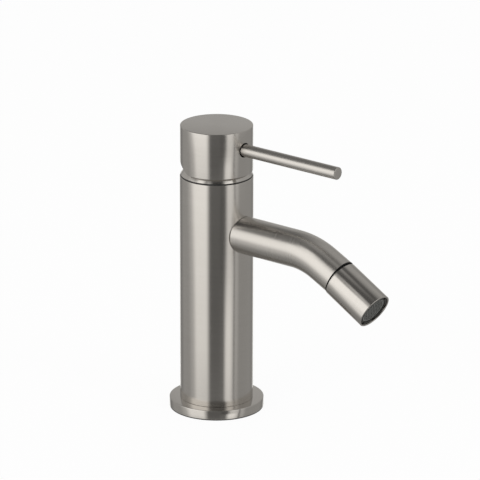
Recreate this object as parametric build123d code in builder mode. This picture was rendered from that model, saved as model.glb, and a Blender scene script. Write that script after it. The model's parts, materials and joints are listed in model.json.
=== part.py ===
from build123d import *
import os
from math import acos, atan2, cos, degrees, hypot, radians, sin, sqrt, tan

os.makedirs("parts", exist_ok=True)

# A single-lever bidet mixer in millimetres, +Z up. The origin is the centre of the
# base on the deck, the spout and the lever point towards -Y.

# Clearances
turned_gap = 0.05          # one turned piece in the bore of another
running_gap = 0.05         # a piece that turns or slides on another
float_gap = 0.1            # floating rings of the ball joint in the nozzle
face_gap = 0.02            # between lapped or stacked faces that move
loose_gap = 0.3            # beside pieces that only pass each other
cut_over = 1.0             # overrun of every cut
quarter_turn = 90.0

# Base: flange and deck gasket
flange_radius = 27.8
flange_height = 5.6
flange_edge = 0.35
gasket_proud = 0.4
gasket_thickness = 2.0
gasket_rim = 2.4
gasket_wall_share = 0.476
spigot_radius = 17.0
flange_top = gasket_proud + flange_height
gasket_outer_radius = flange_radius - gasket_rim
gasket_inner_radius = spigot_radius + gasket_wall_share * (gasket_outer_radius - spigot_radius)

# Column: the brushed outer tube
column_radius = 21.5
column_wall = 1.9
column_height = 136.6
column_edge = 0.35
column_bore = column_radius - column_wall
column_top = flange_top + column_height

# Foot block with the hose threads and the fixing stud's thread
spigot_recess = 1.0
foot_block_height = 12.0
inlet_thread_radius = 4.5
inlet_thread_depth = 12.0
inlet_spacing = 15.0
inlet_setback = 3.5
stud_thread_radius = 3.4
stud_thread_depth = 13.0
stud_setback = 9.0
foot_block_top = flange_top + foot_block_height
inlet_places = [(side * inlet_spacing / 2, -inlet_setback) for side in (-1, 1)]

# Supply pipes from the foot block to the valve core
pipe_radius = 4.0
pipe_wall = 1.2
pipe_socket_depth = 4.0
pipe_bore = pipe_radius - pipe_wall

# Cartridge: everything stands on its seat, below the pivot of the stem
pivot_drop = 11.94
seat_depth = 24.0
cartridge_radius = 12.5
housing_wall = 1.2
housing_step_rise = 18.7
housing_shoulder_rise = 21.0
housing_height = 30.5
housing_neck_radius = 9.9
pivot_height = column_top - pivot_drop
cartridge_seat = pivot_height - seat_depth
housing_bore = cartridge_radius - housing_wall
housing_step = cartridge_seat + housing_step_rise
housing_shoulder = cartridge_seat + housing_shoulder_rise
housing_top = cartridge_seat + housing_height

base_thickness = 3.5
base_rim_thickness = 1.0
base_pin_radius = 1.2
base_pin_length = 2.2
base_pin_spacing = 17.2
base_pin_setback = 4.0
inlet_port_radius = 2.4
inlet_port_spacing = 12.4
outlet_port_radius = 2.8
outlet_setback = 6.0
seal_width = 1.2
seal_thickness = 1.0
base_top = cartridge_seat + base_thickness
base_pin_places = [(side * base_pin_spacing / 2, base_pin_setback) for side in (-1, 1)]
port_places = [
    (-inlet_port_spacing / 2, -inlet_setback, inlet_port_radius),
    (inlet_port_spacing / 2, -inlet_setback, inlet_port_radius),
    (0, outlet_setback, outlet_port_radius),
]

disc_thickness = 3.0
fixed_disc_gap = 0.4
disc_port_width = 3.2
disc_inlet_angles = (-50, -24)
disc_outlet_angles = (58, 122)
moving_disc_radius = 8.6
mixing_pocket_width = 13.2
mixing_pocket_length = 7.2
mixing_pocket_corner = 3.0
mixing_pocket_depth = 1.6
mixing_pocket_lead = 0.9
driver_height = 6.0
driver_lug_width = 4.0
driver_lug_depth = 1.2
driver_lug_drop = 2.0
driver_flare_radius = 3.9
driver_flare_depth = 1.6
fixed_disc_top = base_top + disc_thickness
moving_disc_foot = fixed_disc_top + face_gap
driver_foot = moving_disc_foot + disc_thickness
driver_top = driver_foot + driver_height

# Stem, its guide and its pivot pin
lift_angle = 24.0
stem_side = 7.0
stem_reach = 11.5
stem_leg_radius = 1.9
stem_ball_radius = 2.5
stem_edge = 0.6
pin_radius = 1.5
pin_inset = 0.3
guide_radius = 8.55
guide_flange_thickness = 2.2
lift = radians(lift_angle)
disc_travel = stem_reach * sin(lift)
disc_rest = disc_travel / 2
guide_top = housing_top - face_gap
guide_flange_top = housing_step - face_gap
guide_foot = guide_flange_top - guide_flange_thickness

# Valve core: the block that holds the cartridge and feeds the spout
core_floor = 12.7
neck_share = 0.54
core_neck_height = 6.0
core_drop = 3.6
nut_thread_radius = 13.95
nut_relief = 0.7
gallery_radius = 2.2
gallery_cover = 1.1
core_radius = column_bore - turned_gap
core_neck_radius = nut_thread_radius + neck_share * (column_bore - nut_thread_radius)
core_foot = cartridge_seat - core_floor
core_top = column_top - core_drop
gallery_height = cartridge_seat - gallery_cover - gallery_radius

# Cartridge nut
nut_flat_inset = 0.45
nut_head_height = 2.8
nut_stand = 0.3
nut_flats = 2 * (nut_thread_radius - nut_flat_inset)

# Dome ring, with its centre at the pivot of the stem, and the black ring below it
dome_ring_gap = 0.8
dome_gasket_inset = 0.35
dome_edge_inset = 0.4
dome_wall = 2.0
dome_opening_radius = 14.5
dome_skirt_length = 6.0
dome_foot = column_top + dome_ring_gap
dome_edge_radius = column_radius - dome_edge_inset
dome_radius = hypot(dome_edge_radius, dome_foot - pivot_height)
dome_inner_radius = dome_radius - dome_wall
dome_thread_bore = core_neck_radius + turned_gap

# Handle cap, with the relief at its back that lets it tip over the dome
handle_inset = 0.2
handle_height = 27.2
handle_rise = 2.7
handle_edge = 0.45
handle_swing_gap = 0.35
handle_wall = 3.4
handle_ceiling_gap = 0.4
relief_start = 4.2
relief_angle = 27.5
handle_radius = column_radius - handle_inset
handle_hollow_radius = handle_radius - handle_wall
handle_foot = dome_foot + handle_rise
handle_top = handle_foot + handle_height
handle_hollow_sphere = dome_radius + handle_swing_gap
handle_ceiling = pivot_height + handle_hollow_sphere + handle_ceiling_gap

# Insert between the cap and the stem, and its grub screw
insert_radius = 7.0
insert_above_lever = 6.8
insert_headroom = 0.5
screw_radius = 2.0
screw_length = 8.0
screw_socket_radius = 1.15
screw_socket_depth = 2.4

# Lever rod
lever_radius = 3.7
lever_reach = 90.7
lever_drop = 11.5
lever_edge = 0.4
lever_hole_radius = 4.35
lever_hole_depth = 7.3
lever_thread_radius = 2.95
lever_tip_gap = 1.0
lever_height = handle_top - lever_drop
lever_hole_floor = handle_radius - lever_hole_depth
lever_thread_length = lever_hole_floor - insert_radius - lever_tip_gap
insert_top = lever_height + insert_above_lever
stem_top = insert_top - insert_headroom

# Spout: straight out, one bend down, then a short run to the ball's centre
spout_radius = 11.0
spout_wall = 1.5
spout_drop = 32.4
spout_straight = 60.1
bend_radius = 47.1
bend_angle = 26.0
spout_end_run = 9.1
spout_seam = 0.15
spout_bore = spout_radius - spout_wall
spout_height = column_top - spout_drop
bend = radians(bend_angle)
bend_tangent = bend_radius * tan(bend / 2)
spout_direction = Vector(0, -cos(bend), -sin(bend))
spout_corner = Vector(0, -spout_straight - bend_tangent, spout_height)
ball_centre = spout_corner + spout_direction * (bend_tangent + spout_end_run)

# Union: the threaded sleeve that holds the spout tube to the column and the core
union_thread_radius = 8.0
union_bore_radius = 5.0
union_sleeve_length = 11.0
union_seal_thickness = 1.2
union_seal_width = 1.3
socket_wall = 1.6
socket_floor = cartridge_radius + float_gap + socket_wall

# Ball joint: socket in the end of the spout, ball stud in the nozzle. Polar angles are
# measured at the ball's centre from the axis that leads out of the mouth
ball_radius = 6.8
ball_neck_radius = 3.4
ball_bore_radius = 2.2
ball_key_radius = 2.8
ball_key_depth = 3.0
insert_disc_radius = 9.9
insert_disc_end = 15.0
liner_thickness = 1.1
liner_end_polar = 80.0
seat_start_polar = 97.0
seat_end_polar = 128.0
seal_start_polar = 108.0
seal_end_polar = 117.0
ball_seal_thickness = 0.6
cup_end_polar = 150.0
cup_length = 8.8
ring_seal_width = 1.3
ring_seal_depth = 1.0
cup_seal_stand = 3.2
insert_seal_stand = 3.0
swing_angle = 13.0
swing_spare_angle = 1.5
nozzle_angle = 29.6
seam_gap = 0.45
seam_setback = 3.9
nozzle_radius = 11.24
nozzle_length = 33.8
nozzle_edge = 0.3
nozzle = radians(nozzle_angle)
nozzle_direction = Vector(0, -cos(nozzle), -sin(nozzle))
joint_bore = insert_disc_radius + turned_gap
spout_end_radius = hypot(spout_radius, seam_setback)
nozzle_back_radius = spout_end_radius + seam_gap
ball_seat_radius = ball_radius + running_gap
liner_outer_radius = ball_seat_radius + liner_thickness
socket_sphere_radius = liner_outer_radius + float_gap
socket_radius = spout_bore - turned_gap

# Aerator in the mouth of the nozzle
aerator_bore = 10.2
aerator_depth = 10.5
washer_thickness = 1.4
washer_width = 2.4
collar_recess = 0.55
collar_width = 1.7
key_notch_count = 6
key_notch_width = 2.3
key_notch_depth = 1.5
mesh_recess = 1.05
mesh_thickness = 1.2
cell_pitch = 1.5
cell_wall = 0.34
cell_turn = 30.0
flow_plate_thickness = 1.6
flow_plate_rise = 3.0
flow_hole_count = 16
flow_hole_radius = 0.45
flow_hole_ring = 6.6
strainer_thickness = 0.8
strainer_hole_radius = 0.55
strainer_ring_count = 4
strainer_ring_pitch = 1.9
aerator_start = nozzle_length - aerator_depth
aerator_radius = aerator_bore - turned_gap
aerator_inner_radius = aerator_radius - collar_width
aerator_foot = aerator_start + washer_thickness
collar_end = nozzle_length - collar_recess
mesh_end = nozzle_length - mesh_recess


def ring_on_z(outer, inner, foot, top):
    """Add a plain ring about the column's axis, between two heights."""
    with BuildSketch(Plane.XY.offset(foot)) as ring:
        Circle(outer)
        if inner:
            Circle(inner, mode=Mode.SUBTRACT)
    extrude(ring.sketch, amount=top - foot)


def drill_down(places, radius, mouth, floor):
    """Cut round holes from a mouth height down to a floor height."""
    with BuildSketch(Plane.XY.offset(mouth)) as holes:
        with Locations(*places):
            Circle(radius)
    extrude(holes.sketch, amount=floor - mouth, mode=Mode.SUBTRACT)


def facing_front(distance, height):
    """Plane square to the spout and lever, at a distance in front of the axis."""
    return Plane(origin=(0, -distance, height), x_dir=(1, 0, 0), z_dir=(0, -1, 0))


def along_nozzle(distance):
    """Plane square to the nozzle, at a distance from the ball's centre."""
    origin = ball_centre + nozzle_direction * distance
    return Plane(origin=origin, x_dir=(1, 0, 0), z_dir=nozzle_direction)


def polar_arc(radius, first_polar, last_polar):
    """Arc about the ball's centre between two polar angles, in a section through the axis."""
    return CenterArc((0, 0), radius, quarter_turn - first_polar, first_polar - last_polar)


def polar_of(off_axis, radius):
    """Polar angle at which a sphere of this radius is this far off its axis."""
    return degrees(atan2(off_axis, sqrt(radius**2 - off_axis**2)))


def off_axis_at(radius, along):
    """How far off its axis a sphere is at a distance along the axis."""
    return sqrt(radius**2 - along**2)


# Sections through the axis of the spout's end and of the nozzle: local X leads away
# from the axis and local Y along it, out of the mouth, from the ball's centre
spout_section = Plane(origin=ball_centre, x_dir=(1, 0, 0), z_dir=Vector(1, 0, 0).cross(spout_direction))
nozzle_section = Plane(origin=ball_centre, x_dir=(1, 0, 0), z_dir=Vector(1, 0, 0).cross(nozzle_direction))
spout_axis = Axis(ball_centre, spout_direction)
nozzle_axis = Axis(ball_centre, nozzle_direction)


# Base flange: turned ring with a groove for the deck gasket below
with BuildPart() as base_flange:
    ring_on_z(flange_radius, spigot_radius + turned_gap, gasket_proud, flange_top)
    rims = base_flange.edges().filter_by(GeomType.CIRCLE).sort_by(SortBy.RADIUS)[-2:]
    chamfer(rims, length=flange_edge)
    with BuildSketch(Plane.XY.offset(gasket_thickness)):
        Circle(gasket_outer_radius + turned_gap)
        Circle(gasket_inner_radius - turned_gap, mode=Mode.SUBTRACT)
    extrude(amount=-gasket_thickness, mode=Mode.SUBTRACT)
base_flange.part.label = "base_flange"
export_step(base_flange.part, "parts/base_flange.step")

# Deck gasket: stands a little proud of the flange and carries the mixer
with BuildPart() as base_gasket:
    ring_on_z(gasket_outer_radius, gasket_inner_radius, 0, gasket_thickness)
base_gasket.part.label = "base_gasket"
export_step(base_gasket.part, "parts/base_gasket.step")

# Foot block: spigot through the flange, hose threads and the stud's thread
with BuildPart() as foot_block:
    with BuildSketch(Plane.XY.offset(spigot_recess)):
        Circle(spigot_radius)
    extrude(amount=flange_top - spigot_recess)
    with BuildSketch(Plane.XY.offset(flange_top)):
        Circle(core_radius)
    extrude(amount=foot_block_height)
    inlet_floor = spigot_recess + inlet_thread_depth
    drill_down(inlet_places, inlet_thread_radius, spigot_recess, inlet_floor)
    drill_down(inlet_places, pipe_bore, inlet_floor, foot_block_top)
    drill_down(inlet_places, pipe_radius + turned_gap, foot_block_top, foot_block_top - pipe_socket_depth)
    drill_down([(0, stud_setback)], stud_thread_radius, spigot_recess, spigot_recess + stud_thread_depth)
foot_block.part.label = "foot_block"
export_step(foot_block.part, "parts/foot_block.step")

# Column: tube with the hole that the union passes
with BuildPart() as body_column:
    ring_on_z(column_radius, column_bore, flange_top, column_top)
    rim = body_column.edges().filter_by(GeomType.CIRCLE).group_by(Axis.Z)[-1].sort_by(SortBy.RADIUS)[-1]
    fillet(rim, radius=column_edge)
    with BuildSketch(facing_front(0, spout_height)):
        Circle(union_thread_radius + turned_gap)
    extrude(amount=column_radius + cut_over, mode=Mode.SUBTRACT)
body_column.part.label = "body_column"
export_step(body_column.part, "parts/body_column.step")

# Supply pipes: one each for hot and cold
pipe_foot = foot_block_top - pipe_socket_depth
pipe_top = core_foot + pipe_socket_depth
for pipe_name, pipe_place in zip(("hot_supply_pipe", "cold_supply_pipe"), inlet_places):
    with BuildPart() as supply_pipe:
        with BuildSketch(Plane.XY.offset(pipe_foot)):
            with Locations(pipe_place):
                Circle(pipe_radius)
                Circle(pipe_bore, mode=Mode.SUBTRACT)
        extrude(amount=pipe_top - pipe_foot)
    supply_pipe.part.label = pipe_name
    export_step(supply_pipe.part, f"parts/{pipe_name}.step")

# Valve core: cartridge chamber, waterways, gallery to the spout and union thread
with BuildPart() as valve_core:
    with BuildSketch(Plane.XZ):
        with BuildLine():
            Polyline(
                (0, core_foot),
                (core_radius, core_foot),
                (core_radius, core_top - core_neck_height),
                (core_neck_radius, core_top - core_neck_height),
                (core_neck_radius, core_top),
                (nut_thread_radius + turned_gap, core_top),
                (nut_thread_radius + turned_gap, housing_shoulder - nut_relief),
                (cartridge_radius + float_gap, housing_shoulder - nut_relief),
                (cartridge_radius + float_gap, cartridge_seat),
                (0, cartridge_seat),
                close=True,
            )
        make_face()
    revolve(axis=Axis.Z)
    drill_down(inlet_places, pipe_radius + turned_gap, core_foot, pipe_top)
    for port_x, port_y, port_radius in port_places[:2]:
        drill_down([(port_x, port_y)], port_radius, cartridge_seat, pipe_top)
    drill_down([(0, outlet_setback)], outlet_port_radius, cartridge_seat, gallery_height)
    drill_down(base_pin_places, base_pin_radius + turned_gap, cartridge_seat,
               cartridge_seat - base_pin_length - loose_gap)
    with BuildSketch(facing_front(-outlet_setback, gallery_height)):
        Circle(gallery_radius)
    extrude(amount=outlet_setback + socket_floor + cut_over, mode=Mode.SUBTRACT)
    with BuildSketch(facing_front(socket_floor, spout_height)):
        Circle(union_thread_radius + turned_gap)
    extrude(amount=core_radius, mode=Mode.SUBTRACT)
valve_core.part.label = "valve_core"
export_step(valve_core.part, "parts/valve_core.step")

# Cartridge base: rim, three ports with seal recesses on both faces, two pins
with BuildPart() as cartridge_base:
    ring_on_z(cartridge_radius, 0, cartridge_seat, cartridge_seat + base_rim_thickness)
    ring_on_z(housing_bore - turned_gap, 0, cartridge_seat + base_rim_thickness, base_top)
    with BuildSketch(Plane.XY.offset(cartridge_seat)):
        with Locations(*base_pin_places):
            Circle(base_pin_radius)
    extrude(amount=-base_pin_length)
    for port_x, port_y, port_radius in port_places:
        recess_radius = port_radius + seal_width + turned_gap
        drill_down([(port_x, port_y)], port_radius, base_top, cartridge_seat)
        drill_down([(port_x, port_y)], recess_radius, cartridge_seat, cartridge_seat + seal_thickness)
        drill_down([(port_x, port_y)], recess_radius, base_top, base_top - seal_thickness)
cartridge_base.part.label = "cartridge_base"
export_step(cartridge_base.part, "parts/cartridge_base.step")

# Rubber seals in the base: three below it and three under the fixed disc
for seal_name, seal_foot in (("port_seals", cartridge_seat), ("disc_seals", base_top - seal_thickness)):
    with BuildPart() as seal_set:
        with BuildSketch(Plane.XY.offset(seal_foot)):
            for port_x, port_y, port_radius in port_places:
                with Locations((port_x, port_y)):
                    Circle(port_radius + seal_width)
                    Circle(port_radius, mode=Mode.SUBTRACT)
        extrude(amount=seal_thickness)
    seal_set.part.label = seal_name
    export_step(seal_set.part, f"parts/{seal_name}.step")

# Fixed ceramic disc: two inlet slots in front and the outlet slot behind
port_ring_radius = hypot(inlet_port_spacing / 2, inlet_setback)
with BuildPart() as fixed_disc:
    with BuildSketch(Plane.XY.offset(base_top)):
        Circle(housing_bore - fixed_disc_gap)
        for first_angle, last_angle, ring_radius in (
            (*disc_inlet_angles, port_ring_radius),
            (180 - disc_inlet_angles[1], 180 - disc_inlet_angles[0], port_ring_radius),
            (*disc_outlet_angles, outlet_setback),
        ):
            slot_line = CenterArc((0, 0), ring_radius, first_angle, last_angle - first_angle)
            SlotArc(slot_line, disc_port_width, mode=Mode.SUBTRACT)
    extrude(amount=disc_thickness)
fixed_disc.part.label = "fixed_disc"
export_step(fixed_disc.part, "parts/fixed_disc.step")

# Moving ceramic disc: its pocket joins the inlets to the outlet when the lever lifts
lug_reach = moving_disc_radius - driver_lug_depth
with BuildPart() as moving_disc:
    with BuildSketch(Plane.XY.offset(moving_disc_foot)):
        with Locations((0, disc_rest)):
            Circle(moving_disc_radius)
            with PolarLocations(moving_disc_radius, 2):
                Rectangle(2 * driver_lug_depth, driver_lug_width + 2 * turned_gap, mode=Mode.SUBTRACT)
    extrude(amount=disc_thickness)
    with BuildSketch(Plane.XY.offset(moving_disc_foot)):
        with Locations((0, mixing_pocket_lead + mixing_pocket_length / 2)):
            RectangleRounded(mixing_pocket_width, mixing_pocket_length, mixing_pocket_corner)
    extrude(amount=mixing_pocket_depth, mode=Mode.SUBTRACT)
moving_disc.part.label = "moving_disc"
export_step(moving_disc.part, "parts/moving_disc.step")

# Disc driver: carries the moving disc by two lugs, with a socket for the stem's ball
with BuildPart() as disc_driver:
    with BuildSketch(Plane.XY.offset(driver_foot)):
        with Locations((0, disc_rest)):
            Circle(moving_disc_radius)
    extrude(amount=driver_height)
    with BuildSketch(Plane.XY.offset(driver_foot)):
        with Locations((0, disc_rest)):
            Circle(moving_disc_radius)
            Rectangle(2 * (lug_reach + turned_gap), 2 * moving_disc_radius, mode=Mode.SUBTRACT)
            Rectangle(2 * moving_disc_radius, driver_lug_width, mode=Mode.INTERSECT)
    extrude(amount=-driver_lug_drop)
    drill_down([(0, 0)], stem_ball_radius + float_gap, driver_top, driver_foot)
    with BuildSketch(Plane.XY.offset(driver_top)):
        Circle(driver_flare_radius)
    with BuildSketch(Plane.XY.offset(driver_top - driver_flare_depth)):
        Circle(stem_ball_radius + float_gap)
    loft(mode=Mode.SUBTRACT)
disc_driver.part.label = "disc_driver"
export_step(disc_driver.part, "parts/disc_driver.step")

# Cartridge housing: shell over the discs, with the neck that guides the stem
with BuildPart() as cartridge_housing:
    with BuildSketch(Plane.XZ):
        with BuildLine():
            Polyline(
                (cartridge_radius, cartridge_seat + base_rim_thickness),
                (cartridge_radius, housing_shoulder),
                (housing_neck_radius, housing_shoulder),
                (housing_neck_radius, housing_top),
                (guide_radius + running_gap, housing_top),
                (guide_radius + running_gap, housing_step),
                (housing_bore, housing_step),
                (housing_bore, cartridge_seat + base_rim_thickness),
                close=True,
            )
        make_face()
    revolve(axis=Axis.Z)
cartridge_housing.part.label = "cartridge_housing"
export_step(cartridge_housing.part, "parts/cartridge_housing.step")

# Cartridge nut: thread in the core, hexagon above it
nut_head_foot = core_top + nut_stand
with BuildPart() as cartridge_nut:
    with BuildSketch(Plane.XY.offset(housing_shoulder)):
        Circle(nut_thread_radius)
    extrude(amount=nut_head_foot - housing_shoulder)
    with BuildSketch(Plane.XY.offset(nut_head_foot)):
        RegularPolygon(nut_flats / 2, side_count=6, major_radius=False)
    extrude(amount=nut_head_height)
    drill_down([(0, 0)], housing_neck_radius + turned_gap, nut_head_foot + nut_head_height, housing_shoulder)
cartridge_nut.part.label = "cartridge_nut"
export_step(cartridge_nut.part, "parts/cartridge_nut.step")

# Stem guide: turns in the housing's neck, and its slot stops the stem at both ends
slot_half = stem_side / 2 + running_gap
slot_top_back = (guide_top - pivot_height) * tan(lift) + slot_half / cos(lift)
slot_foot_front = (pivot_height - guide_foot) * tan(lift) + (stem_leg_radius + loose_gap) / cos(lift)
with BuildPart() as stem_guide:
    ring_on_z(housing_bore - loose_gap, 0, guide_foot, guide_flange_top)
    ring_on_z(guide_radius, 0, guide_flange_top, guide_top)
    with BuildSketch(Plane.YZ):
        with BuildLine():
            Polyline(
                (-slot_half, guide_top),
                (-slot_half, pivot_height),
                (-slot_foot_front, guide_foot),
                (slot_half, guide_foot),
                (slot_half / cos(lift), pivot_height),
                (slot_top_back, guide_top),
                close=True,
            )
        make_face()
    extrude(amount=slot_half, both=True, mode=Mode.SUBTRACT)
    with BuildSketch(Plane.YZ):
        with Locations((0, pivot_height)):
            Circle(pin_radius + turned_gap)
    extrude(amount=guide_radius + cut_over, both=True, mode=Mode.SUBTRACT)
stem_guide.part.label = "stem_guide"
export_step(stem_guide.part, "parts/stem_guide.step")

# Pivot pin: held in the guide, the stem turns on it
with BuildPart() as pivot_pin:
    with BuildSketch(Plane.YZ):
        with Locations((0, pivot_height)):
            Circle(pin_radius)
    extrude(amount=guide_radius - pin_inset, both=True)
pivot_pin.part.label = "pivot_pin"
export_step(pivot_pin.part, "parts/pivot_pin.step")

# Stem: square shank, eye on the pin, leg with the ball that drives the disc
with BuildPart() as stem:
    with BuildSketch(Plane.XY.offset(pivot_height)):
        Rectangle(stem_side, stem_side)
    extrude(amount=stem_top - pivot_height)
    chamfer(stem.faces().sort_by(Axis.Z)[-1].edges(), length=stem_edge)
    with BuildSketch(Plane.YZ):
        with Locations((0, pivot_height)):
            Circle(stem_side / 2)
    extrude(amount=stem_side / 2, both=True)
    with BuildSketch(Plane.XY.offset(pivot_height)):
        Circle(stem_leg_radius)
    extrude(amount=-stem_reach)
    with Locations((0, 0, pivot_height - stem_reach)):
        Sphere(stem_ball_radius)
    with BuildSketch(Plane.YZ):
        with Locations((0, pivot_height)):
            Circle(pin_radius + running_gap)
    extrude(amount=stem_side, both=True, mode=Mode.SUBTRACT)
stem.part.label = "stem"
export_step(stem.part, "parts/stem.step")

# Black ring in the joint between the column and the dome
with BuildPart() as dome_gasket:
    ring_on_z(column_radius - dome_gasket_inset, column_bore, column_top, dome_foot)
dome_gasket.part.label = "dome_gasket"
export_step(dome_gasket.part, "parts/dome_gasket.step")

# Dome ring: screws on the core's neck, spherical about the pivot
opening_outer = polar_of(dome_opening_radius, dome_radius)
opening_inner = polar_of(dome_opening_radius, dome_inner_radius)
edge_outer = polar_of(dome_edge_radius, dome_radius)
edge_inner = polar_of(dome_thread_bore, dome_inner_radius)
with BuildPart() as dome_ring:
    with BuildSketch(Plane.XZ):
        with BuildLine():
            outer_arc = CenterArc((0, pivot_height), dome_radius, quarter_turn - edge_outer, edge_outer - opening_outer)
            inner_arc = CenterArc((0, pivot_height), dome_inner_radius, quarter_turn - opening_inner,
                                  opening_inner - edge_inner)
            Line(outer_arc @ 1, inner_arc @ 0)
            Polyline(
                inner_arc @ 1,
                (dome_thread_bore, dome_foot - dome_skirt_length),
                (column_bore - turned_gap, dome_foot - dome_skirt_length),
                (column_bore - turned_gap, dome_foot),
                outer_arc @ 0,
            )
        make_face()
    revolve(axis=Axis.Z)
dome_ring.part.label = "dome_ring"
export_step(dome_ring.part, "parts/dome_ring.step")

# Handle cap: hollow cleared by a sphere about the pivot, relief cut at the back
rim_inner = polar_of(off_axis_at(handle_hollow_sphere, handle_foot - pivot_height), handle_hollow_sphere)
hollow_inner = polar_of(handle_hollow_radius, handle_hollow_sphere)
relief_rise = (handle_radius - relief_start) * tan(radians(relief_angle))
with BuildPart() as handle_cap:
    with BuildSketch(Plane.XZ):
        with BuildLine():
            hollow_arc = CenterArc((0, pivot_height), handle_hollow_sphere, quarter_turn - rim_inner,
                                   rim_inner - hollow_inner)
            Polyline(
                hollow_arc @ 1,
                (handle_hollow_radius, handle_ceiling),
                (0, handle_ceiling),
                (0, handle_top),
                (handle_radius, handle_top),
                (handle_radius, handle_foot),
                hollow_arc @ 0,
            )
        make_face()
    revolve(axis=Axis.Z)
    chamfer(handle_cap.faces().sort_by(Axis.Z)[-1].edges(), length=handle_edge)
    with BuildSketch(Plane.YZ):
        with BuildLine():
            Polyline(
                (relief_start, handle_foot),
                (handle_radius, handle_foot + relief_rise),
                (handle_radius + cut_over, handle_foot + relief_rise),
                (handle_radius + cut_over, handle_foot - cut_over),
                (relief_start, handle_foot - cut_over),
                close=True,
            )
        make_face()
    extrude(amount=handle_radius + cut_over, both=True, mode=Mode.SUBTRACT)
    drill_down([(0, 0)], insert_radius + turned_gap, insert_top + insert_headroom, handle_ceiling)
    with BuildSketch(facing_front(lever_hole_floor, lever_height)):
        Circle(lever_hole_radius)
    extrude(amount=handle_radius, mode=Mode.SUBTRACT)
    with BuildSketch(facing_front(0, lever_height)):
        Circle(lever_thread_radius + turned_gap)
    extrude(amount=lever_hole_floor + cut_over, mode=Mode.SUBTRACT)
    with BuildSketch(facing_front(0, lever_height)):
        Circle(screw_radius + turned_gap)
    extrude(amount=-handle_radius - cut_over, mode=Mode.SUBTRACT)
handle_cap.part.label = "handle_cap"
export_step(handle_cap.part, "parts/handle_cap.step")

# Handle insert: bush with the square hole that fits the stem
with BuildPart() as handle_insert:
    with BuildSketch(Plane.XY.offset(handle_ceiling)):
        Circle(insert_radius)
        Rectangle(stem_side + 2 * turned_gap, stem_side + 2 * turned_gap, mode=Mode.SUBTRACT)
    extrude(amount=insert_top - handle_ceiling)
    with BuildSketch(facing_front(0, lever_height)):
        Circle(screw_radius + turned_gap)
    extrude(amount=-insert_radius - cut_over, mode=Mode.SUBTRACT)
handle_insert.part.label = "handle_insert"
export_step(handle_insert.part, "parts/handle_insert.step")

# Grub screw: from the back of the cap onto the stem
screw_tip = stem_side / 2 + face_gap
with BuildPart() as grub_screw:
    with BuildSketch(facing_front(-screw_tip, lever_height)):
        Circle(screw_radius)
    extrude(amount=-screw_length)
    with BuildSketch(facing_front(-screw_tip - screw_length, lever_height)):
        RegularPolygon(screw_socket_radius, side_count=6)
    extrude(amount=screw_socket_depth, mode=Mode.SUBTRACT)
grub_screw.part.label = "grub_screw"
export_step(grub_screw.part, "parts/grub_screw.step")

# Lever rod: stands in a wider hole of the cap, on a threaded end
with BuildPart() as lever_rod:
    with BuildSketch(facing_front(lever_hole_floor, lever_height)):
        Circle(lever_radius)
    extrude(amount=lever_reach - lever_hole_floor)
    chamfer(lever_rod.faces().sort_by(Axis.Y)[0].edges(), length=lever_edge)
    with BuildSketch(facing_front(lever_hole_floor, lever_height)):
        Circle(lever_thread_radius)
    extrude(amount=-lever_thread_length)
lever_rod.part.label = "lever_rod"
export_step(lever_rod.part, "parts/lever_rod.step")

# Spout tube: saddle on the column, bend, and an end domed about the ball's centre
tube_start = column_bore - column_wall
tube_end = ball_centre + spout_direction * (spout_end_radius - cut_over)
edge_polar = polar_of(spout_radius, spout_end_radius)
inner_polar = polar_of(spout_bore - cut_over, spout_end_radius)
with BuildPart() as spout_tube:
    with BuildLine(Plane.YZ):
        FilletPolyline(
            (-tube_start, spout_height),
            (spout_corner.Y, spout_corner.Z),
            (tube_end.Y, tube_end.Z),
            radius=bend_radius,
        )
    with BuildSketch(facing_front(tube_start, spout_height)):
        Circle(spout_radius)
        Circle(spout_bore, mode=Mode.SUBTRACT)
    sweep()
    with BuildSketch(Plane.XY.offset(spout_height - spout_radius - cut_over)):
        Circle(column_radius + spout_seam)
    extrude(amount=2 * (spout_radius + cut_over), mode=Mode.SUBTRACT)
    with BuildSketch(spout_section):
        with BuildLine():
            end_arc = polar_arc(spout_end_radius, inner_polar, edge_polar)
            Polyline(
                end_arc @ 1,
                (spout_radius + cut_over, seam_setback),
                (spout_radius + cut_over, spout_end_radius),
                (spout_bore - cut_over, spout_end_radius),
                end_arc @ 0,
            )
        make_face()
    revolve(axis=spout_axis, mode=Mode.SUBTRACT)
spout_tube.part.label = "spout_tube"
export_step(spout_tube.part, "parts/spout_tube.step")

# Spout union: threads through the column into the core, its sleeve fills the tube
union_end = socket_floor + face_gap
union_shoulder = column_radius + union_seal_thickness
with BuildPart() as spout_union:
    with BuildSketch(facing_front(union_end, spout_height)):
        Circle(union_thread_radius)
    extrude(amount=union_shoulder - union_end)
    with BuildSketch(facing_front(union_shoulder, spout_height)):
        Circle(spout_bore - turned_gap)
    extrude(amount=union_sleeve_length)
    with BuildSketch(facing_front(0, spout_height)):
        Circle(union_bore_radius)
    extrude(amount=union_shoulder + union_sleeve_length + cut_over, mode=Mode.SUBTRACT)
spout_union.part.label = "spout_union"
export_step(spout_union.part, "parts/spout_union.step")

# Union seal: ring between the column's wall and the union's shoulder
with BuildPart() as union_seal:
    with BuildSketch(facing_front(column_radius, spout_height)):
        Circle(union_thread_radius + turned_gap + union_seal_width)
        Circle(union_thread_radius + turned_gap, mode=Mode.SUBTRACT)
    extrude(amount=union_seal_thickness)
union_seal.part.label = "union_seal"
export_step(union_seal.part, "parts/union_seal.step")

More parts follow.
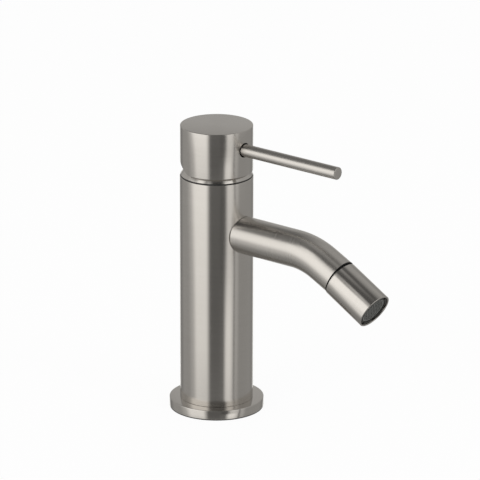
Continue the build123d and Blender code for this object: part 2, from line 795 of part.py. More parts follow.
# Ball socket: cup in the end of the spout, with a groove for its seal
with BuildPart() as ball_socket:
    with BuildSketch(spout_section):
        with BuildLine():
            cup_arc = polar_arc(socket_sphere_radius, quarter_turn, cup_end_polar)
            cup_mouth = cup_arc @ 1
            Polyline(
                cup_mouth,
                (cup_mouth.X, -cup_length),
                (socket_radius, -cup_length),
                (socket_radius, 0),
                cup_arc @ 0,
            )
        make_face()
    revolve(axis=spout_axis)
    with BuildSketch(Plane(origin=ball_centre - spout_direction * cup_seal_stand, z_dir=-spout_direction)):
        Circle(spout_bore)
        Circle(socket_radius - ring_seal_depth, mode=Mode.SUBTRACT)
    extrude(amount=ring_seal_width, mode=Mode.SUBTRACT)
ball_socket.part.label = "ball_socket"
export_step(ball_socket.part, "parts/ball_socket.step")

# Socket seal: ring in the groove of the cup
with BuildPart() as socket_seal:
    with BuildSketch(Plane(origin=ball_centre - spout_direction * cup_seal_stand, z_dir=-spout_direction)):
        Circle(spout_bore - face_gap)
        Circle(socket_radius - ring_seal_depth + face_gap, mode=Mode.SUBTRACT)
    extrude(amount=ring_seal_width)
socket_seal.part.label = "socket_seal"
export_step(socket_seal.part, "parts/socket_seal.step")

# Angles that the neck needs to swing in: one way in the liner, both ways in the socket
both_ways_angle = degrees(acos(cos(radians(swing_angle)) ** 2))
liner_opening = polar_of(ball_neck_radius, ball_seat_radius) + swing_angle + swing_spare_angle
lip_inner_opening = polar_of(ball_neck_radius, socket_sphere_radius) + both_ways_angle + swing_spare_angle
lip_outer_opening = polar_of(ball_neck_radius, spout_end_radius) + both_ways_angle + swing_spare_angle

# Socket ring: screws in after the ball, its lip holds it and its face ends the spout
with BuildPart() as socket_ring:
    with BuildSketch(spout_section):
        with BuildLine():
            lip_arc = polar_arc(socket_sphere_radius, lip_inner_opening, quarter_turn)
            face_arc = polar_arc(spout_end_radius, lip_outer_opening, polar_of(socket_radius, spout_end_radius))
            Line(lip_arc @ 0, face_arc @ 0)
            Polyline(face_arc @ 1, (socket_radius, 0), lip_arc @ 1)
        make_face()
    revolve(axis=spout_axis)
socket_ring.part.label = "socket_ring"
export_step(socket_ring.part, "parts/socket_ring.step")

# Ball liner: spherical ring that floats between the ball and the socket's lip
with BuildPart() as ball_liner:
    with BuildSketch(nozzle_section):
        with BuildLine():
            inner_arc = polar_arc(ball_seat_radius, liner_opening, liner_end_polar)
            outer_arc = polar_arc(liner_outer_radius, liner_opening, liner_end_polar)
            Line(inner_arc @ 0, outer_arc @ 0)
            Line(inner_arc @ 1, outer_arc @ 1)
        make_face()
    revolve(axis=nozzle_axis)
ball_liner.part.label = "ball_liner"
export_step(ball_liner.part, "parts/ball_liner.step")

# Ball seat: spherical ring behind the ball, grooved inside for the ball seal
groove_radius = ball_seat_radius + ball_seal_thickness
with BuildPart() as ball_seat:
    with BuildSketch(nozzle_section):
        with BuildLine():
            front_arc = polar_arc(ball_seat_radius, seat_start_polar, seal_start_polar)
            groove_arc = polar_arc(groove_radius, seal_start_polar, seal_end_polar)
            rear_arc = polar_arc(ball_seat_radius, seal_end_polar, seat_end_polar)
            outer_arc = polar_arc(liner_outer_radius, seat_start_polar, seat_end_polar)
            Line(front_arc @ 0, outer_arc @ 0)
            Line(front_arc @ 1, groove_arc @ 0)
            Line(groove_arc @ 1, rear_arc @ 0)
            Line(rear_arc @ 1, outer_arc @ 1)
        make_face()
    revolve(axis=nozzle_axis)
ball_seat.part.label = "ball_seat"
export_step(ball_seat.part, "parts/ball_seat.step")

# Ball seal: rubber ring in the seat's groove
with BuildPart() as ball_seal:
    with BuildSketch(nozzle_section):
        with BuildLine():
            inner_arc = polar_arc(ball_seat_radius, seal_start_polar, seal_end_polar)
            outer_arc = polar_arc(groove_radius - face_gap, seal_start_polar, seal_end_polar)
            Line(inner_arc @ 0, outer_arc @ 0)
            Line(inner_arc @ 1, outer_arc @ 1)
        make_face()
    revolve(axis=nozzle_axis)
ball_seal.part.label = "ball_seal"
export_step(ball_seal.part, "parts/ball_seal.step")

# Ball stud: bored ball and threaded neck, which passes the socket ring from behind
neck_polar = polar_of(ball_neck_radius, ball_radius)
bore_polar = 180 - polar_of(ball_bore_radius, ball_radius)
with BuildPart() as ball_stud:
    with BuildSketch(nozzle_section):
        with BuildLine():
            ball_arc = polar_arc(ball_radius, neck_polar, bore_polar)
            Polyline(
                ball_arc @ 0,
                (ball_neck_radius, insert_disc_end),
                (ball_bore_radius, insert_disc_end),
                ball_arc @ 1,
            )
        make_face()
    revolve(axis=nozzle_axis)
    with BuildSketch(along_nozzle(insert_disc_end)):
        RegularPolygon(ball_key_radius, side_count=6)
    extrude(amount=-ball_key_depth, mode=Mode.SUBTRACT)
ball_stud.part.label = "ball_stud"
export_step(ball_stud.part, "parts/ball_stud.step")

# Nozzle insert: disc that screws on the ball stud's neck and into the nozzle shell
stud_thread_bore = ball_neck_radius + turned_gap
with BuildPart() as nozzle_insert:
    with BuildSketch(nozzle_section):
        with BuildLine():
            hollow_arc = polar_arc(nozzle_back_radius, polar_of(stud_thread_bore, nozzle_back_radius),
                                   polar_of(insert_disc_radius, nozzle_back_radius))
            Polyline(
                hollow_arc @ 1,
                (insert_disc_radius, insert_disc_end),
                (stud_thread_bore, insert_disc_end),
                hollow_arc @ 0,
            )
        make_face()
    revolve(axis=nozzle_axis)
    with BuildSketch(along_nozzle(insert_disc_end - insert_seal_stand)):
        Circle(joint_bore)
        Circle(insert_disc_radius - ring_seal_depth, mode=Mode.SUBTRACT)
    extrude(amount=ring_seal_width, mode=Mode.SUBTRACT)
nozzle_insert.part.label = "nozzle_insert"
export_step(nozzle_insert.part, "parts/nozzle_insert.step")

# Insert seal: ring in the groove of the nozzle insert
with BuildPart() as insert_seal:
    with BuildSketch(along_nozzle(insert_disc_end - insert_seal_stand)):
        Circle(joint_bore - face_gap)
        Circle(insert_disc_radius - ring_seal_depth + face_gap, mode=Mode.SUBTRACT)
    extrude(amount=ring_seal_width)
insert_seal.part.label = "insert_seal"
export_step(insert_seal.part, "parts/insert_seal.step")

# Nozzle shell: back hollowed to the spout's domed end, bores for the insert and the aerator
with BuildPart() as nozzle_shell:
    with BuildSketch(nozzle_section):
        with BuildLine():
            back_arc = polar_arc(nozzle_back_radius, polar_of(joint_bore, nozzle_back_radius),
                                 polar_of(nozzle_radius, nozzle_back_radius))
            Polyline(
                back_arc @ 1,
                (nozzle_radius, nozzle_length),
                (aerator_bore, nozzle_length),
                (aerator_bore, aerator_start),
                (joint_bore, aerator_start),
                back_arc @ 0,
            )
        make_face()
    revolve(axis=nozzle_axis)
    mouth_rim = nozzle_shell.faces().sort_by(nozzle_axis)[-1].edges()
    fillet(mouth_rim, radius=nozzle_edge)
nozzle_shell.part.label = "nozzle_shell"
export_step(nozzle_shell.part, "parts/nozzle_shell.step")

# Aerator washer
with BuildPart() as aerator_washer:
    with BuildSketch(along_nozzle(aerator_start)):
        Circle(aerator_radius)
        Circle(aerator_radius - washer_width, mode=Mode.SUBTRACT)
    extrude(amount=washer_thickness)
aerator_washer.part.label = "aerator_washer"
export_step(aerator_washer.part, "parts/aerator_washer.step")

# Aerator housing: sleeve whose collar is notched for the key
with BuildPart() as aerator_housing:
    with BuildSketch(along_nozzle(aerator_foot)):
        Circle(aerator_radius)
        Circle(aerator_inner_radius, mode=Mode.SUBTRACT)
    extrude(amount=collar_end - aerator_foot)
    with BuildSketch(along_nozzle(collar_end)):
        with PolarLocations(aerator_radius, key_notch_count):
            Rectangle(2 * collar_width - 2 * cell_wall, key_notch_width)
    extrude(amount=-key_notch_depth, mode=Mode.SUBTRACT)
aerator_housing.part.label = "aerator_housing"
export_step(aerator_housing.part, "parts/aerator_housing.step")

# Honeycomb mesh: six-sided cells in rows, as many as fit inside a plain rim
mesh_radius = aerator_inner_radius - turned_gap
row_pitch = cell_pitch * sqrt(3) / 2
cell_reach = mesh_radius - cell_pitch / 2 - cell_wall
rows = int(cell_reach / row_pitch)
cell_places = []
for row in range(-rows, rows + 1):
    shift = cell_pitch / 2 if row % 2 else 0
    columns = int(cell_reach / cell_pitch) + 1
    for column in range(-columns, columns + 1):
        place = (column * cell_pitch + shift, row * row_pitch)
        if hypot(*place) <= cell_reach:
            cell_places.append(place)
with BuildPart() as aerator_mesh:
    with BuildSketch(along_nozzle(mesh_end)):
        Circle(mesh_radius)
        with Locations(*cell_places):
            RegularPolygon((cell_pitch - cell_wall) / 2, side_count=6, major_radius=False,
                           rotation=cell_turn, mode=Mode.SUBTRACT)
    extrude(amount=-mesh_thickness)
aerator_mesh.part.label = "aerator_mesh"
export_step(aerator_mesh.part, "parts/aerator_mesh.step")

# Flow plate: solid disc with a ring of jets
flow_plate_start = aerator_foot + flow_plate_rise
with BuildPart() as flow_plate:
    with BuildSketch(along_nozzle(flow_plate_start)):
        Circle(mesh_radius)
        with PolarLocations(flow_hole_ring, flow_hole_count):
            Circle(flow_hole_radius, mode=Mode.SUBTRACT)
    extrude(amount=flow_plate_thickness)
flow_plate.part.label = "flow_plate"
export_step(flow_plate.part, "parts/flow_plate.step")

# Strainer: perforated disc where the water enters the aerator
with BuildPart() as aerator_strainer:
    with BuildSketch(along_nozzle(aerator_foot)):
        Circle(mesh_radius)
        for ring in range(strainer_ring_count):
            with PolarLocations(ring * strainer_ring_pitch, max(1, 6 * ring)):
                Circle(strainer_hole_radius, mode=Mode.SUBTRACT)
    extrude(amount=strainer_thickness)
aerator_strainer.part.label = "aerator_strainer"
export_step(aerator_strainer.part, "parts/aerator_strainer.step")
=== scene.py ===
"""Bidet mixer of brushed stainless steel, dressed over its packed construction frame."""

import json
import logging
import math
from dataclasses import dataclass
from enum import Enum
from typing import Callable, Sequence

import bpy
from mathutils import Matrix, Vector


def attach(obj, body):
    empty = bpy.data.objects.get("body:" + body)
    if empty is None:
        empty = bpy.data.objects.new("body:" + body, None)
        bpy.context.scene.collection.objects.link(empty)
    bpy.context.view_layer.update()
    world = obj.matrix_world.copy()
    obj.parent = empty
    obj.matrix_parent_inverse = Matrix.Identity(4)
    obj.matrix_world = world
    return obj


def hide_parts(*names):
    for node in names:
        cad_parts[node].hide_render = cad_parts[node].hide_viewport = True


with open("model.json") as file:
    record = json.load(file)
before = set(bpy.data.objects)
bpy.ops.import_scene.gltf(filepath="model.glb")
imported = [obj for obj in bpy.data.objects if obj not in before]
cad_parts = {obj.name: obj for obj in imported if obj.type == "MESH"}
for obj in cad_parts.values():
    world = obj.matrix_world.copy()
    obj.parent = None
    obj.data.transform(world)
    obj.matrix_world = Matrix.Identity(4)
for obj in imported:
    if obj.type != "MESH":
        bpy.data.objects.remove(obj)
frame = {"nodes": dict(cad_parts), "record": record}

MM = 0.001
FULL_TURN = 2 * math.pi
CIRCLE = 360.0
SEAM_MERGE = 0.001 * MM
CUT_MERGE = 0.0005 * MM
SPHERE_TOLERANCE = 0.02 * MM
FACING_SHARE = 0.999
NOISE_ROUGHNESS = 0.55
MIX_FIRST, MIX_SECOND, MIX_RESULT = 6, 7, 2
log = logging.getLogger("bidet_mixer")


class Turning(Enum):
    """How finely a turned piece is divided round its axis."""

    LARGE = 256
    MEDIUM = 160
    SMALL = 96


class Slot(Enum):
    """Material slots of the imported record."""

    STEEL = "brushed_steel"
    BRASS = "brass"
    COPPER = "copper_tube"
    PLAIN_STEEL = "plain_steel"
    CERAMIC = "ceramic"
    WHITE_PLASTIC = "white_plastic"
    GREY_PLASTIC = "grey_plastic"
    RUBBER = "black_rubber"


@dataclass(frozen=True)
class Corner:
    """A point of a turned profile, in metres.

    Args:
        radius: distance from the axis.
        height: distance along the axis.
        ease: radius that rounds the corner, or zero for a sharp one.
    """

    radius: float
    height: float
    ease: float = 0.0


def arc(centre: float, radius: float, first: float, last: float, steps: int) -> list[Corner]:
    """Corners along a circle whose centre is on the axis.

    Args:
        centre: height of the circle's centre.
        radius: radius of the circle.
        first: polar angle from the axis at the first corner, in radians.
        last: polar angle at the last corner.
        steps: number of divisions.

    Returns:
        The corners, both ends included.
    """
    turns = [first + (last - first) * step / steps for step in range(steps + 1)]
    return [Corner(radius * math.sin(turn), centre + radius * math.cos(turn)) for turn in turns]


def eased(profile: Sequence[Corner], steps: int = 4) -> list[Vector]:
    """Rounds the eased corners of a closed profile.

    Args:
        profile: the corners in order.
        steps: divisions of each rounded corner.

    Returns:
        Points with X as the radius and Z as the height.
    """
    points: list[Vector] = []
    for index, corner in enumerate(profile):
        here = Vector((corner.radius, 0, corner.height))
        if not corner.ease:
            points.append(here)
            continue
        before, after = profile[index - 1], profile[(index + 1) % len(profile)]
        back = (Vector((before.radius, 0, before.height)) - here).normalized()
        ahead = (Vector((after.radius, 0, after.height)) - here).normalized()
        half = back.angle(ahead) / 2
        reach = corner.ease / math.tan(half)
        centre = here + (back + ahead).normalized() * (corner.ease / math.sin(half))
        start = (here + back * reach - centre).normalized()
        end = (here + ahead * reach - centre).normalized()
        for step in range(steps + 1):
            points.append(centre + start.slerp(end, step / steps) * corner.ease)
    return points


def polar_of(off_axis: float, radius: float) -> float:
    """Polar angle at which a sphere of this radius is this far off its axis."""
    return math.asin(off_axis / radius)


def spherical(centre: float, radius: float, first: float, last: float, steps: int) -> list[Corner]:
    """Corners along a sphere's upper half, between two distances from the axis.

    Args:
        centre: height of the sphere's centre.
        radius: radius of the sphere.
        first: distance from the axis at the first corner.
        last: distance from the axis at the last corner.
        steps: number of divisions.

    Returns:
        The corners, both ends included.
    """
    return arc(centre, radius, polar_of(first, radius), polar_of(last, radius), steps)


class Bench:
    """The modelling operators, used as by hand."""

    @staticmethod
    def clear() -> None:
        """Leaves nothing selected."""
        bpy.ops.object.select_all(action="DESELECT")

    @classmethod
    def only(cls, piece: bpy.types.Object) -> None:
        """Selects one piece alone and makes it active.

        Args:
            piece: the piece to work on.
        """
        cls.clear()
        piece.select_set(True)
        bpy.context.view_layer.objects.active = piece

    @classmethod
    def settle(cls, piece: bpy.types.Object) -> None:
        """Moves a piece's place into its mesh."""
        cls.only(piece)
        bpy.ops.object.transform_apply(location=True, rotation=True, scale=True)

    @classmethod
    def added(cls, name: str) -> bpy.types.Object:
        """Names and settles the primitive that was just added.

        Args:
            name: name of the piece.

        Returns:
            The piece, alone selected.
        """
        piece = bpy.context.active_object
        piece.name = piece.data.name = name
        cls.settle(piece)
        return piece

    @staticmethod
    def edit() -> None:
        """Opens the active piece in edit mode with all of it selected."""
        bpy.ops.object.mode_set(mode="EDIT")
        bpy.ops.mesh.select_all(action="SELECT")

    @classmethod
    def turn(cls, name: str, profile: Sequence[Corner], fineness: Turning) -> bpy.types.Object:
        """Spins a closed profile round Z.

        Args:
            name: name of the piece.
            profile: corners of the section, in order.
            fineness: divisions round the axis.

        Returns:
            The turned piece, a closed mesh.
        """
        points = eased(profile)
        cls.clear()
        bpy.ops.mesh.primitive_plane_add(size=MM, location=points[0])
        piece = cls.added(name)
        cls.edit()
        bpy.ops.mesh.merge(type="CENTER")
        for start, end in zip(points, [*points[1:], points[0]]):
            bpy.ops.mesh.extrude_region_move(TRANSFORM_OT_translate={"value": end - start})
        bpy.ops.mesh.select_all(action="SELECT")
        bpy.ops.mesh.spin(steps=fineness.value, angle=FULL_TURN, center=(0, 0, 0), axis=(0, 0, 1))
        cls.close()
        return piece

    @staticmethod
    def close() -> None:
        """Joins the seams of the mesh in edit mode, turns its faces outwards and leaves edit mode."""
        bpy.ops.mesh.select_all(action="SELECT")
        bpy.ops.mesh.remove_doubles(threshold=SEAM_MERGE)
        bpy.ops.mesh.normals_make_consistent(inside=False)
        bpy.ops.object.mode_set(mode="OBJECT")

    @classmethod
    def aim(cls, piece: bpy.types.Object, origin: Vector, direction: Vector) -> bpy.types.Object:
        """Carries a piece from the Z axis to another axis and applies its place.

        Args:
            piece: the piece to carry.
            origin: where its origin goes.
            direction: where its Z axis points, square to X.

        Returns:
            The same piece.
        """
        across = Vector((1, 0, 0))
        side = direction.cross(across)
        turn = Matrix((across, side, direction)).transposed().to_4x4()
        piece.matrix_world = Matrix.Translation(origin) @ turn
        cls.settle(piece)
        return piece

    @classmethod
    def rod(cls, radius: float, start: Vector, end: Vector, sides: Turning) -> bpy.types.Object:
        """A round cutter between two points.

        Args:
            radius: radius of the cutter.
            start: middle of one end.
            end: middle of the other end.
            sides: divisions round the axis.

        Returns:
            The cutter.
        """
        cls.clear()
        length = (end - start).length
        bpy.ops.mesh.primitive_cylinder_add(vertices=sides.value, radius=radius, depth=length)
        return cls.aim(bpy.context.active_object, (start + end) / 2, (end - start).normalized())

    @classmethod
    def block(cls, side: float, middle: Vector, direction: Vector) -> bpy.types.Object:
        """A cubic cutter turned to a direction.

        Args:
            side: length of its edges.
            middle: where its middle goes.
            direction: where one of its faces looks, square to X.

        Returns:
            The cutter.
        """
        cls.clear()
        bpy.ops.mesh.primitive_cube_add(size=side)
        return cls.aim(bpy.context.active_object, middle, direction)

    @classmethod
    def carve(cls, piece: bpy.types.Object, cutter: bpy.types.Object) -> None:
        """Cuts one closed mesh out of another and merges the points that the cut doubles.

        Args:
            piece: the piece that is cut.
            cutter: the tool, thrown away after the cut.
        """
        cls.apply(piece, "BOOLEAN", operation="DIFFERENCE", solver="EXACT", object=cutter)
        bpy.data.objects.remove(cutter)
        cls.only(piece)
        cls.edit()
        bpy.ops.mesh.remove_doubles(threshold=CUT_MERGE)
        bpy.ops.object.mode_set(mode="OBJECT")

    @classmethod
    def apply(cls, piece: bpy.types.Object, kind: str, **settings: object) -> None:
        """Adds a modifier and applies it.

        Args:
            piece: the piece that it works on.
            kind: the modifier's type.
            settings: its properties.
        """
        modifier = piece.modifiers.new(kind.lower(), kind)
        for setting, value in settings.items():
            setattr(modifier, setting, value)
        cls.only(piece)
        bpy.ops.object.modifier_apply(modifier=modifier.name)

    @classmethod
    def smooth(cls, piece: bpy.types.Object, angle: float = 25.0) -> None:
        """Shades the round faces smooth and keeps edges over this angle, in degrees, sharp."""
        cls.only(piece)
        bpy.ops.object.shade_smooth_by_angle(angle=math.radians(angle))


Colour = tuple[float, float, float]
Span = tuple[float, float]


class Value:
    """A socket whose value varies over a surface, so that shader maths reads as an expression."""

    def __init__(self, surface: "Surface", socket: bpy.types.NodeSocket) -> None:
        """Keeps the socket and the surface whose nodes it belongs to."""
        self.surface = surface
        self.socket = socket

    def __add__(self, other: object) -> "Value":
        """Sum."""
        return self.surface.math("ADD", self, other)

    def __radd__(self, other: object) -> "Value":
        """Sum with a plain number first."""
        return self.surface.math("ADD", other, self)

    def __sub__(self, other: object) -> "Value":
        """Difference."""
        return self.surface.math("SUBTRACT", self, other)

    def __rsub__(self, other: object) -> "Value":
        """Difference from a plain number."""
        return self.surface.math("SUBTRACT", other, self)

    def __mul__(self, other: object) -> "Value":
        """Product."""
        return self.surface.math("MULTIPLY", self, other)

    def __rmul__(self, other: object) -> "Value":
        """Product with a plain number first."""
        return self.surface.math("MULTIPLY", other, self)


class Surface:
    """The nodes of one procedural material, or of the world."""

    def __init__(self, block: "bpy.types.Material | bpy.types.World") -> None:
        """Empties the node tree of a material or a world.

        Args:
            block: the material or world to shade.
        """
        block.use_nodes = True
        self.block = block
        self.nodes = block.node_tree.nodes
        self.links = block.node_tree.links
        self.nodes.clear()

    @classmethod
    def named(cls, name: str) -> "Surface":
        """A new material's surface."""
        return cls(bpy.data.materials.new(name))

    def node(self, kind: str, settings: dict, inputs: dict, output: object = 0) -> Value:
        """Adds a node.

        Args:
            kind: the node's type.
            settings: its properties, set first.
            inputs: values or links of its sockets, by name or number.
            output: name or number of the socket that is handed on.

        Returns:
            The chosen output.
        """
        made = self.nodes.new(kind)
        for setting, value in settings.items():
            setattr(made, setting, value)
        for key, value in inputs.items():
            if isinstance(value, Value):
                self.links.new(value.socket, made.inputs[key])
            else:
                made.inputs[key].default_value = value
        return Value(self, made.outputs[output]) if len(made.outputs) else Value(self, None)

    def vector(self, operation: str, first: object, second: object = None, output: object = 0) -> Value:
        """Adds one Vector Math node."""
        inputs = {0: first} if second is None else {0: first, 1: second}
        return self.node("ShaderNodeVectorMath", {"operation": operation}, inputs, output)

    def scaled(self, vector: Value, factor: object) -> Value:
        """A vector times a number."""
        return self.node("ShaderNodeVectorMath", {"operation": "SCALE"}, {0: vector, "Scale": factor})

    def place(self) -> Value:
        """Object coordinates."""
        return self.node("ShaderNodeTexCoord", {}, {}, "Object")

    def seen_by(self, kind: str) -> Value:
        """1 for rays of one kind, such as Is Camera Ray, and 0 for others."""
        return self.node("ShaderNodeLightPath", {}, {}, kind)

    def math(self, operation: str, first: object, second: object) -> Value:
        """Adds one Math node."""
        return self.node("ShaderNodeMath", {"operation": operation}, {0: first, 1: second})

    def fade(self, share: Value, start: float, end: float) -> Value:
        """Goes smoothly from 0 at the start to 1 at the end."""
        settings = {"interpolation_type": "SMOOTHSTEP"}
        return self.node("ShaderNodeMapRange", settings, {0: share, 1: start, 2: end})

    def blend(self, share: Value, first: "Value | Colour", second: "Value | Colour") -> Value:
        """Mixes two colours, plain or varying, by a share from 0 to 1.

        Args:
            share: share of the second colour.
            first: the colour at 0.
            second: the colour at 1.

        Returns:
            The mixed colour.
        """
        low, high = (end if isinstance(end, Value) else (*end, 1) for end in (first, second))
        inputs = {0: share, MIX_FIRST: low, MIX_SECOND: high}
        return self.node("ShaderNodeMix", {"data_type": "RGBA"}, inputs, MIX_RESULT)

    def noise(self, where: Value, scale: float, detail: float = 2.0) -> Value:
        """Noise from 0 to 1."""
        inputs = {"Vector": where, "Scale": scale, "Detail": detail, "Roughness": NOISE_ROUGHNESS}
        return self.node("ShaderNodeTexNoise", {}, inputs, "Fac")

    def ramp(self, share: Value, stops: Sequence[tuple[float, Colour]]) -> Value:
        """A colour that runs through stops, by a share from 0 to 1.

        Args:
            share: where along the ramp.
            stops: positions and colours in order, the first at 0 and the last at 1.

        Returns:
            The colour.
        """
        colour = self.node("ShaderNodeValToRGB", {}, {0: share}, "Color")
        steps = colour.socket.node.color_ramp.elements
        steps[0].color = (*stops[0][1], 1)
        steps[1].color = (*stops[-1][1], 1)
        for position, tint in stops[1:-1]:
            steps.new(position).color = (*tint, 1)
        return colour

    def bump(self, height: Value, strength: float, distance: float) -> Value:
        """A normal bumped by a height."""
        inputs = {"Strength": strength, "Distance": distance, "Height": height}
        return self.node("ShaderNodeBump", {}, inputs, "Normal")

    def end(self, shader: Value) -> bpy.types.Material:
        """Ends the material in a shader."""
        self.node("ShaderNodeOutputMaterial", {}, {"Surface": shader})
        return self.block

    def shade(self, inputs: dict) -> bpy.types.Material:
        """Ends the material in one principled shader with these sockets."""
        return self.end(self.node("ShaderNodeBsdfPrincipled", {}, inputs))


@dataclass(frozen=True)
class BrushedMetal:
    """Metal brushed or turned round an axis.

    Args:
        name: name of the finish.
        light: colour on the high lines of the grain.
        dark: colour in the low lines.
        roughness: mean roughness.
        anisotropy: stretch of the highlights across the grain, for pieces that stand on Z.
        centre: a point on the axis.
        axis: direction of the axis.
        grain: lines per metre across the brushing.
        relief: depth of the grain, in metres.
        roughness_swing: how far the roughness varies with the grain.
        bump_strength: strength of the grain's relief.
        along_share: how fast the grain changes along its lines, as a share of the change across.
        coarse_share: lines of the coarse grain to one of the fine.
        fine_share: weight of the fine grain against the coarse.
        clouds: clouds per metre in the colour.
        cloud_share: weight of the clouds in the colour.
        stretch_turn: direction of the stretch, in turns.
    """

    name: str
    light: Colour
    dark: Colour
    roughness: float
    anisotropy: float = 0.0
    centre: tuple[float, float, float] = (0, 0, 0)
    axis: tuple[float, float, float] = (0, 0, 1)
    grain: float = 4500.0
    relief: float = 0.01 * MM
    roughness_swing: float = 0.10
    bump_strength: float = 0.35
    along_share: float = 0.012
    coarse_share: float = 0.23
    fine_share: float = 0.6
    clouds: float = 70.0
    cloud_share: float = 0.2
    stretch_turn: float = 0.25

    def material(self) -> bpy.types.Material:
        """Builds the finish.

        Returns:
            Metal with long fine lines round the axis, and rings on its flat faces.
        """
        surface = Surface.named(self.name)
        place = surface.vector("SUBTRACT", surface.place(), self.centre)
        along = surface.vector("DOT_PRODUCT", place, self.axis, "Value")
        axis = surface.node("ShaderNodeCombineXYZ", {}, dict(enumerate(self.axis)))
        across = surface.vector("SUBTRACT", place, surface.scaled(axis, along))
        radius = surface.vector("LENGTH", across, output="Value")
        depth = surface.node("ShaderNodeCombineXYZ", {}, {"Z": (along + radius) * self.grain})
        lines = surface.vector("ADD", surface.scaled(across, self.grain * self.along_share), depth)
        fine = surface.noise(lines, 1.0, detail=3.0)
        coarse = surface.noise(lines, self.coarse_share, detail=1.0)
        grain = fine * self.fine_share + coarse * (1 - self.fine_share)
        cloud = surface.noise(place, self.clouds)
        clouded = grain * (1 - self.cloud_share) + cloud * self.cloud_share
        return surface.shade({
            "Base Color": surface.blend(clouded, self.dark, self.light),
            "Metallic": 1.0,
            "Roughness": grain * self.roughness_swing + (self.roughness - self.roughness_swing / 2),
            "Anisotropic": self.anisotropy,
            "Anisotropic Rotation": self.stretch_turn,
            "Normal": surface.bump(fine, self.bump_strength, self.relief),
        })


@dataclass(frozen=True)
class Moulded:
    """Moulded plastic or rubber.

    Args:
        name: name of the finish.
        light: lighter colour of the faint clouding.
        dark: darker colour.
        roughness: mean roughness.
        coat: weight of a clear gloss on top.
        shine: specular level of the bare surface.
        clouds: clouds per metre in the colour.
        texture: bumps per metre of the mould's texture.
        relief: depth of the texture, in metres.
        bump_strength: strength of the texture's relief.
        roughness_swing: how far the roughness varies with the texture.
        coat_roughness: roughness of the clear gloss.
    """

    name: str
    light: Colour
    dark: Colour
    roughness: float
    coat: float = 0.0
    shine: float = 0.5
    clouds: float = 90.0
    texture: float = 1800.0
    relief: float = 0.03 * MM
    bump_strength: float = 0.3
    roughness_swing: float = 0.12
    coat_roughness: float = 0.08

    def material(self) -> bpy.types.Material:
        """Builds the finish.

        Returns:
            A plain moulded surface with faint clouds and a fine mould texture.
        """
        surface = Surface.named(self.name)
        place = surface.place()
        cloud = surface.noise(place, self.clouds)
        pores = surface.noise(place, self.texture)
        return surface.shade({
            "Base Color": surface.blend(cloud, self.dark, self.light),
            "Roughness": pores * self.roughness_swing + (self.roughness - self.roughness_swing / 2),
            "Specular IOR Level": self.shine,
            "Coat Weight": self.coat,
            "Coat Roughness": self.coat_roughness,
            "Normal": surface.bump(pores, self.bump_strength, self.relief),
        })


def brushed_steel(
    name: str,
    roughness: float = 0.16,
    anisotropy: float = 0.0,
    centre: Sequence[float] = (0, 0, 0),
    axis: Sequence[float] = (0, 0, 1),
    relief: float = 0.004 * MM,
) -> BrushedMetal:
    """Brushed stainless steel.

    Args:
        name: name of the finish.
        roughness: mean roughness.
        anisotropy: stretch of the highlights, for pieces that stand on Z.
        centre: a point on the axis that it is brushed round.
        axis: direction of that axis.
        relief: depth of the grain.

    Returns:
        The finish.
    """
    light, dark = (0.665, 0.641, 0.612), (0.555, 0.531, 0.500)
    return BrushedMetal(name, light, dark, roughness, anisotropy, tuple(centre), tuple(axis), relief=relief)


SLOT_FINISHES = {
    Slot.STEEL: brushed_steel("standing_steel", roughness=0.19, anisotropy=0.55, relief=0.008 * MM),
    Slot.BRASS: BrushedMetal("turned_brass", (0.78, 0.60, 0.32), (0.62, 0.46, 0.22), 0.32, grain=1700.0),
    Slot.COPPER: BrushedMetal("drawn_copper", (0.80, 0.47, 0.32), (0.62, 0.34, 0.22), 0.30),
    Slot.PLAIN_STEEL: BrushedMetal("ground_steel", (0.60, 0.60, 0.61), (0.48, 0.48, 0.49), 0.28),
    Slot.CERAMIC: Moulded("lapped_ceramic", (0.88, 0.87, 0.84), (0.82, 0.81, 0.78), 0.22, coat=0.3),
    Slot.WHITE_PLASTIC: Moulded("white_moulding", (0.84, 0.84, 0.82), (0.78, 0.78, 0.76), 0.42),
    Slot.GREY_PLASTIC: Moulded("grey_moulding", (0.22, 0.22, 0.215), (0.15, 0.15, 0.147), 0.38),
    Slot.RUBBER: Moulded("black_rubber", (0.028, 0.027, 0.026), (0.014, 0.014, 0.014), 0.55),
}
# Painted shade: a near-black finish on the ball joint's seam faces that stands in for the shadow in the gap.
SEAM_SHADE = Moulded("painted_seam_shade", (0.012, 0.012, 0.012), (0.006, 0.006, 0.006), 0.6, shine=0.08)
DARK_MESH = Moulded("dark_mesh", (0.165, 0.167, 0.157), (0.115, 0.117, 0.109), 0.40)
DARK_MOULDING = Moulded("dark_moulding", (0.030, 0.029, 0.026), (0.018, 0.018, 0.016), 0.36, shine=0.3)


class Workshop:
    """Makes each finish of the mixer once and dresses the pieces in them."""

    def __init__(self) -> None:
        """Makes the finishes that CAD nodes take by their slot, and the three dark ones, one of them the
        painted seam shade.
        """
        self.by_slot = {slot: finish.material() for slot, finish in SLOT_FINISHES.items()}
        self.painted_seam_shade = SEAM_SHADE.material()
        self.dark_mesh = DARK_MESH.material()
        self.dark_moulding = DARK_MOULDING.material()

    def dress(self, piece: bpy.types.Object, material: bpy.types.Material) -> None:
        """Gives a piece one material and no other."""
        piece.data.materials.clear()
        piece.data.materials.append(material)

    def shade_sphere(self, piece: bpy.types.Object, centre: Vector, radius: float) -> None:
        """Adds the painted seam shade, a near-black finish, and gives it to the faces that lie on a sphere.

        Args:
            piece: the piece to shade.
            centre: centre of the sphere.
            radius: radius of the sphere.
        """
        piece.data.materials.append(self.painted_seam_shade)
        for face in piece.data.polygons:
            if abs((face.center - centre).length - radius) < SPHERE_TOLERANCE:
                face.material_index = len(piece.data.materials) - 1

    def shade_facing(self, piece: bpy.types.Object, direction: Vector) -> None:
        """Gives the flat faces that look one way the last of a piece's finishes, which is the painted seam
        shade where it is used.

        Args:
            piece: the piece to shade.
            direction: the way that the faces look.
        """
        for face in piece.data.polygons:
            if face.normal.dot(direction) > FACING_SHARE:
                face.material_index = len(piece.data.materials) - 1


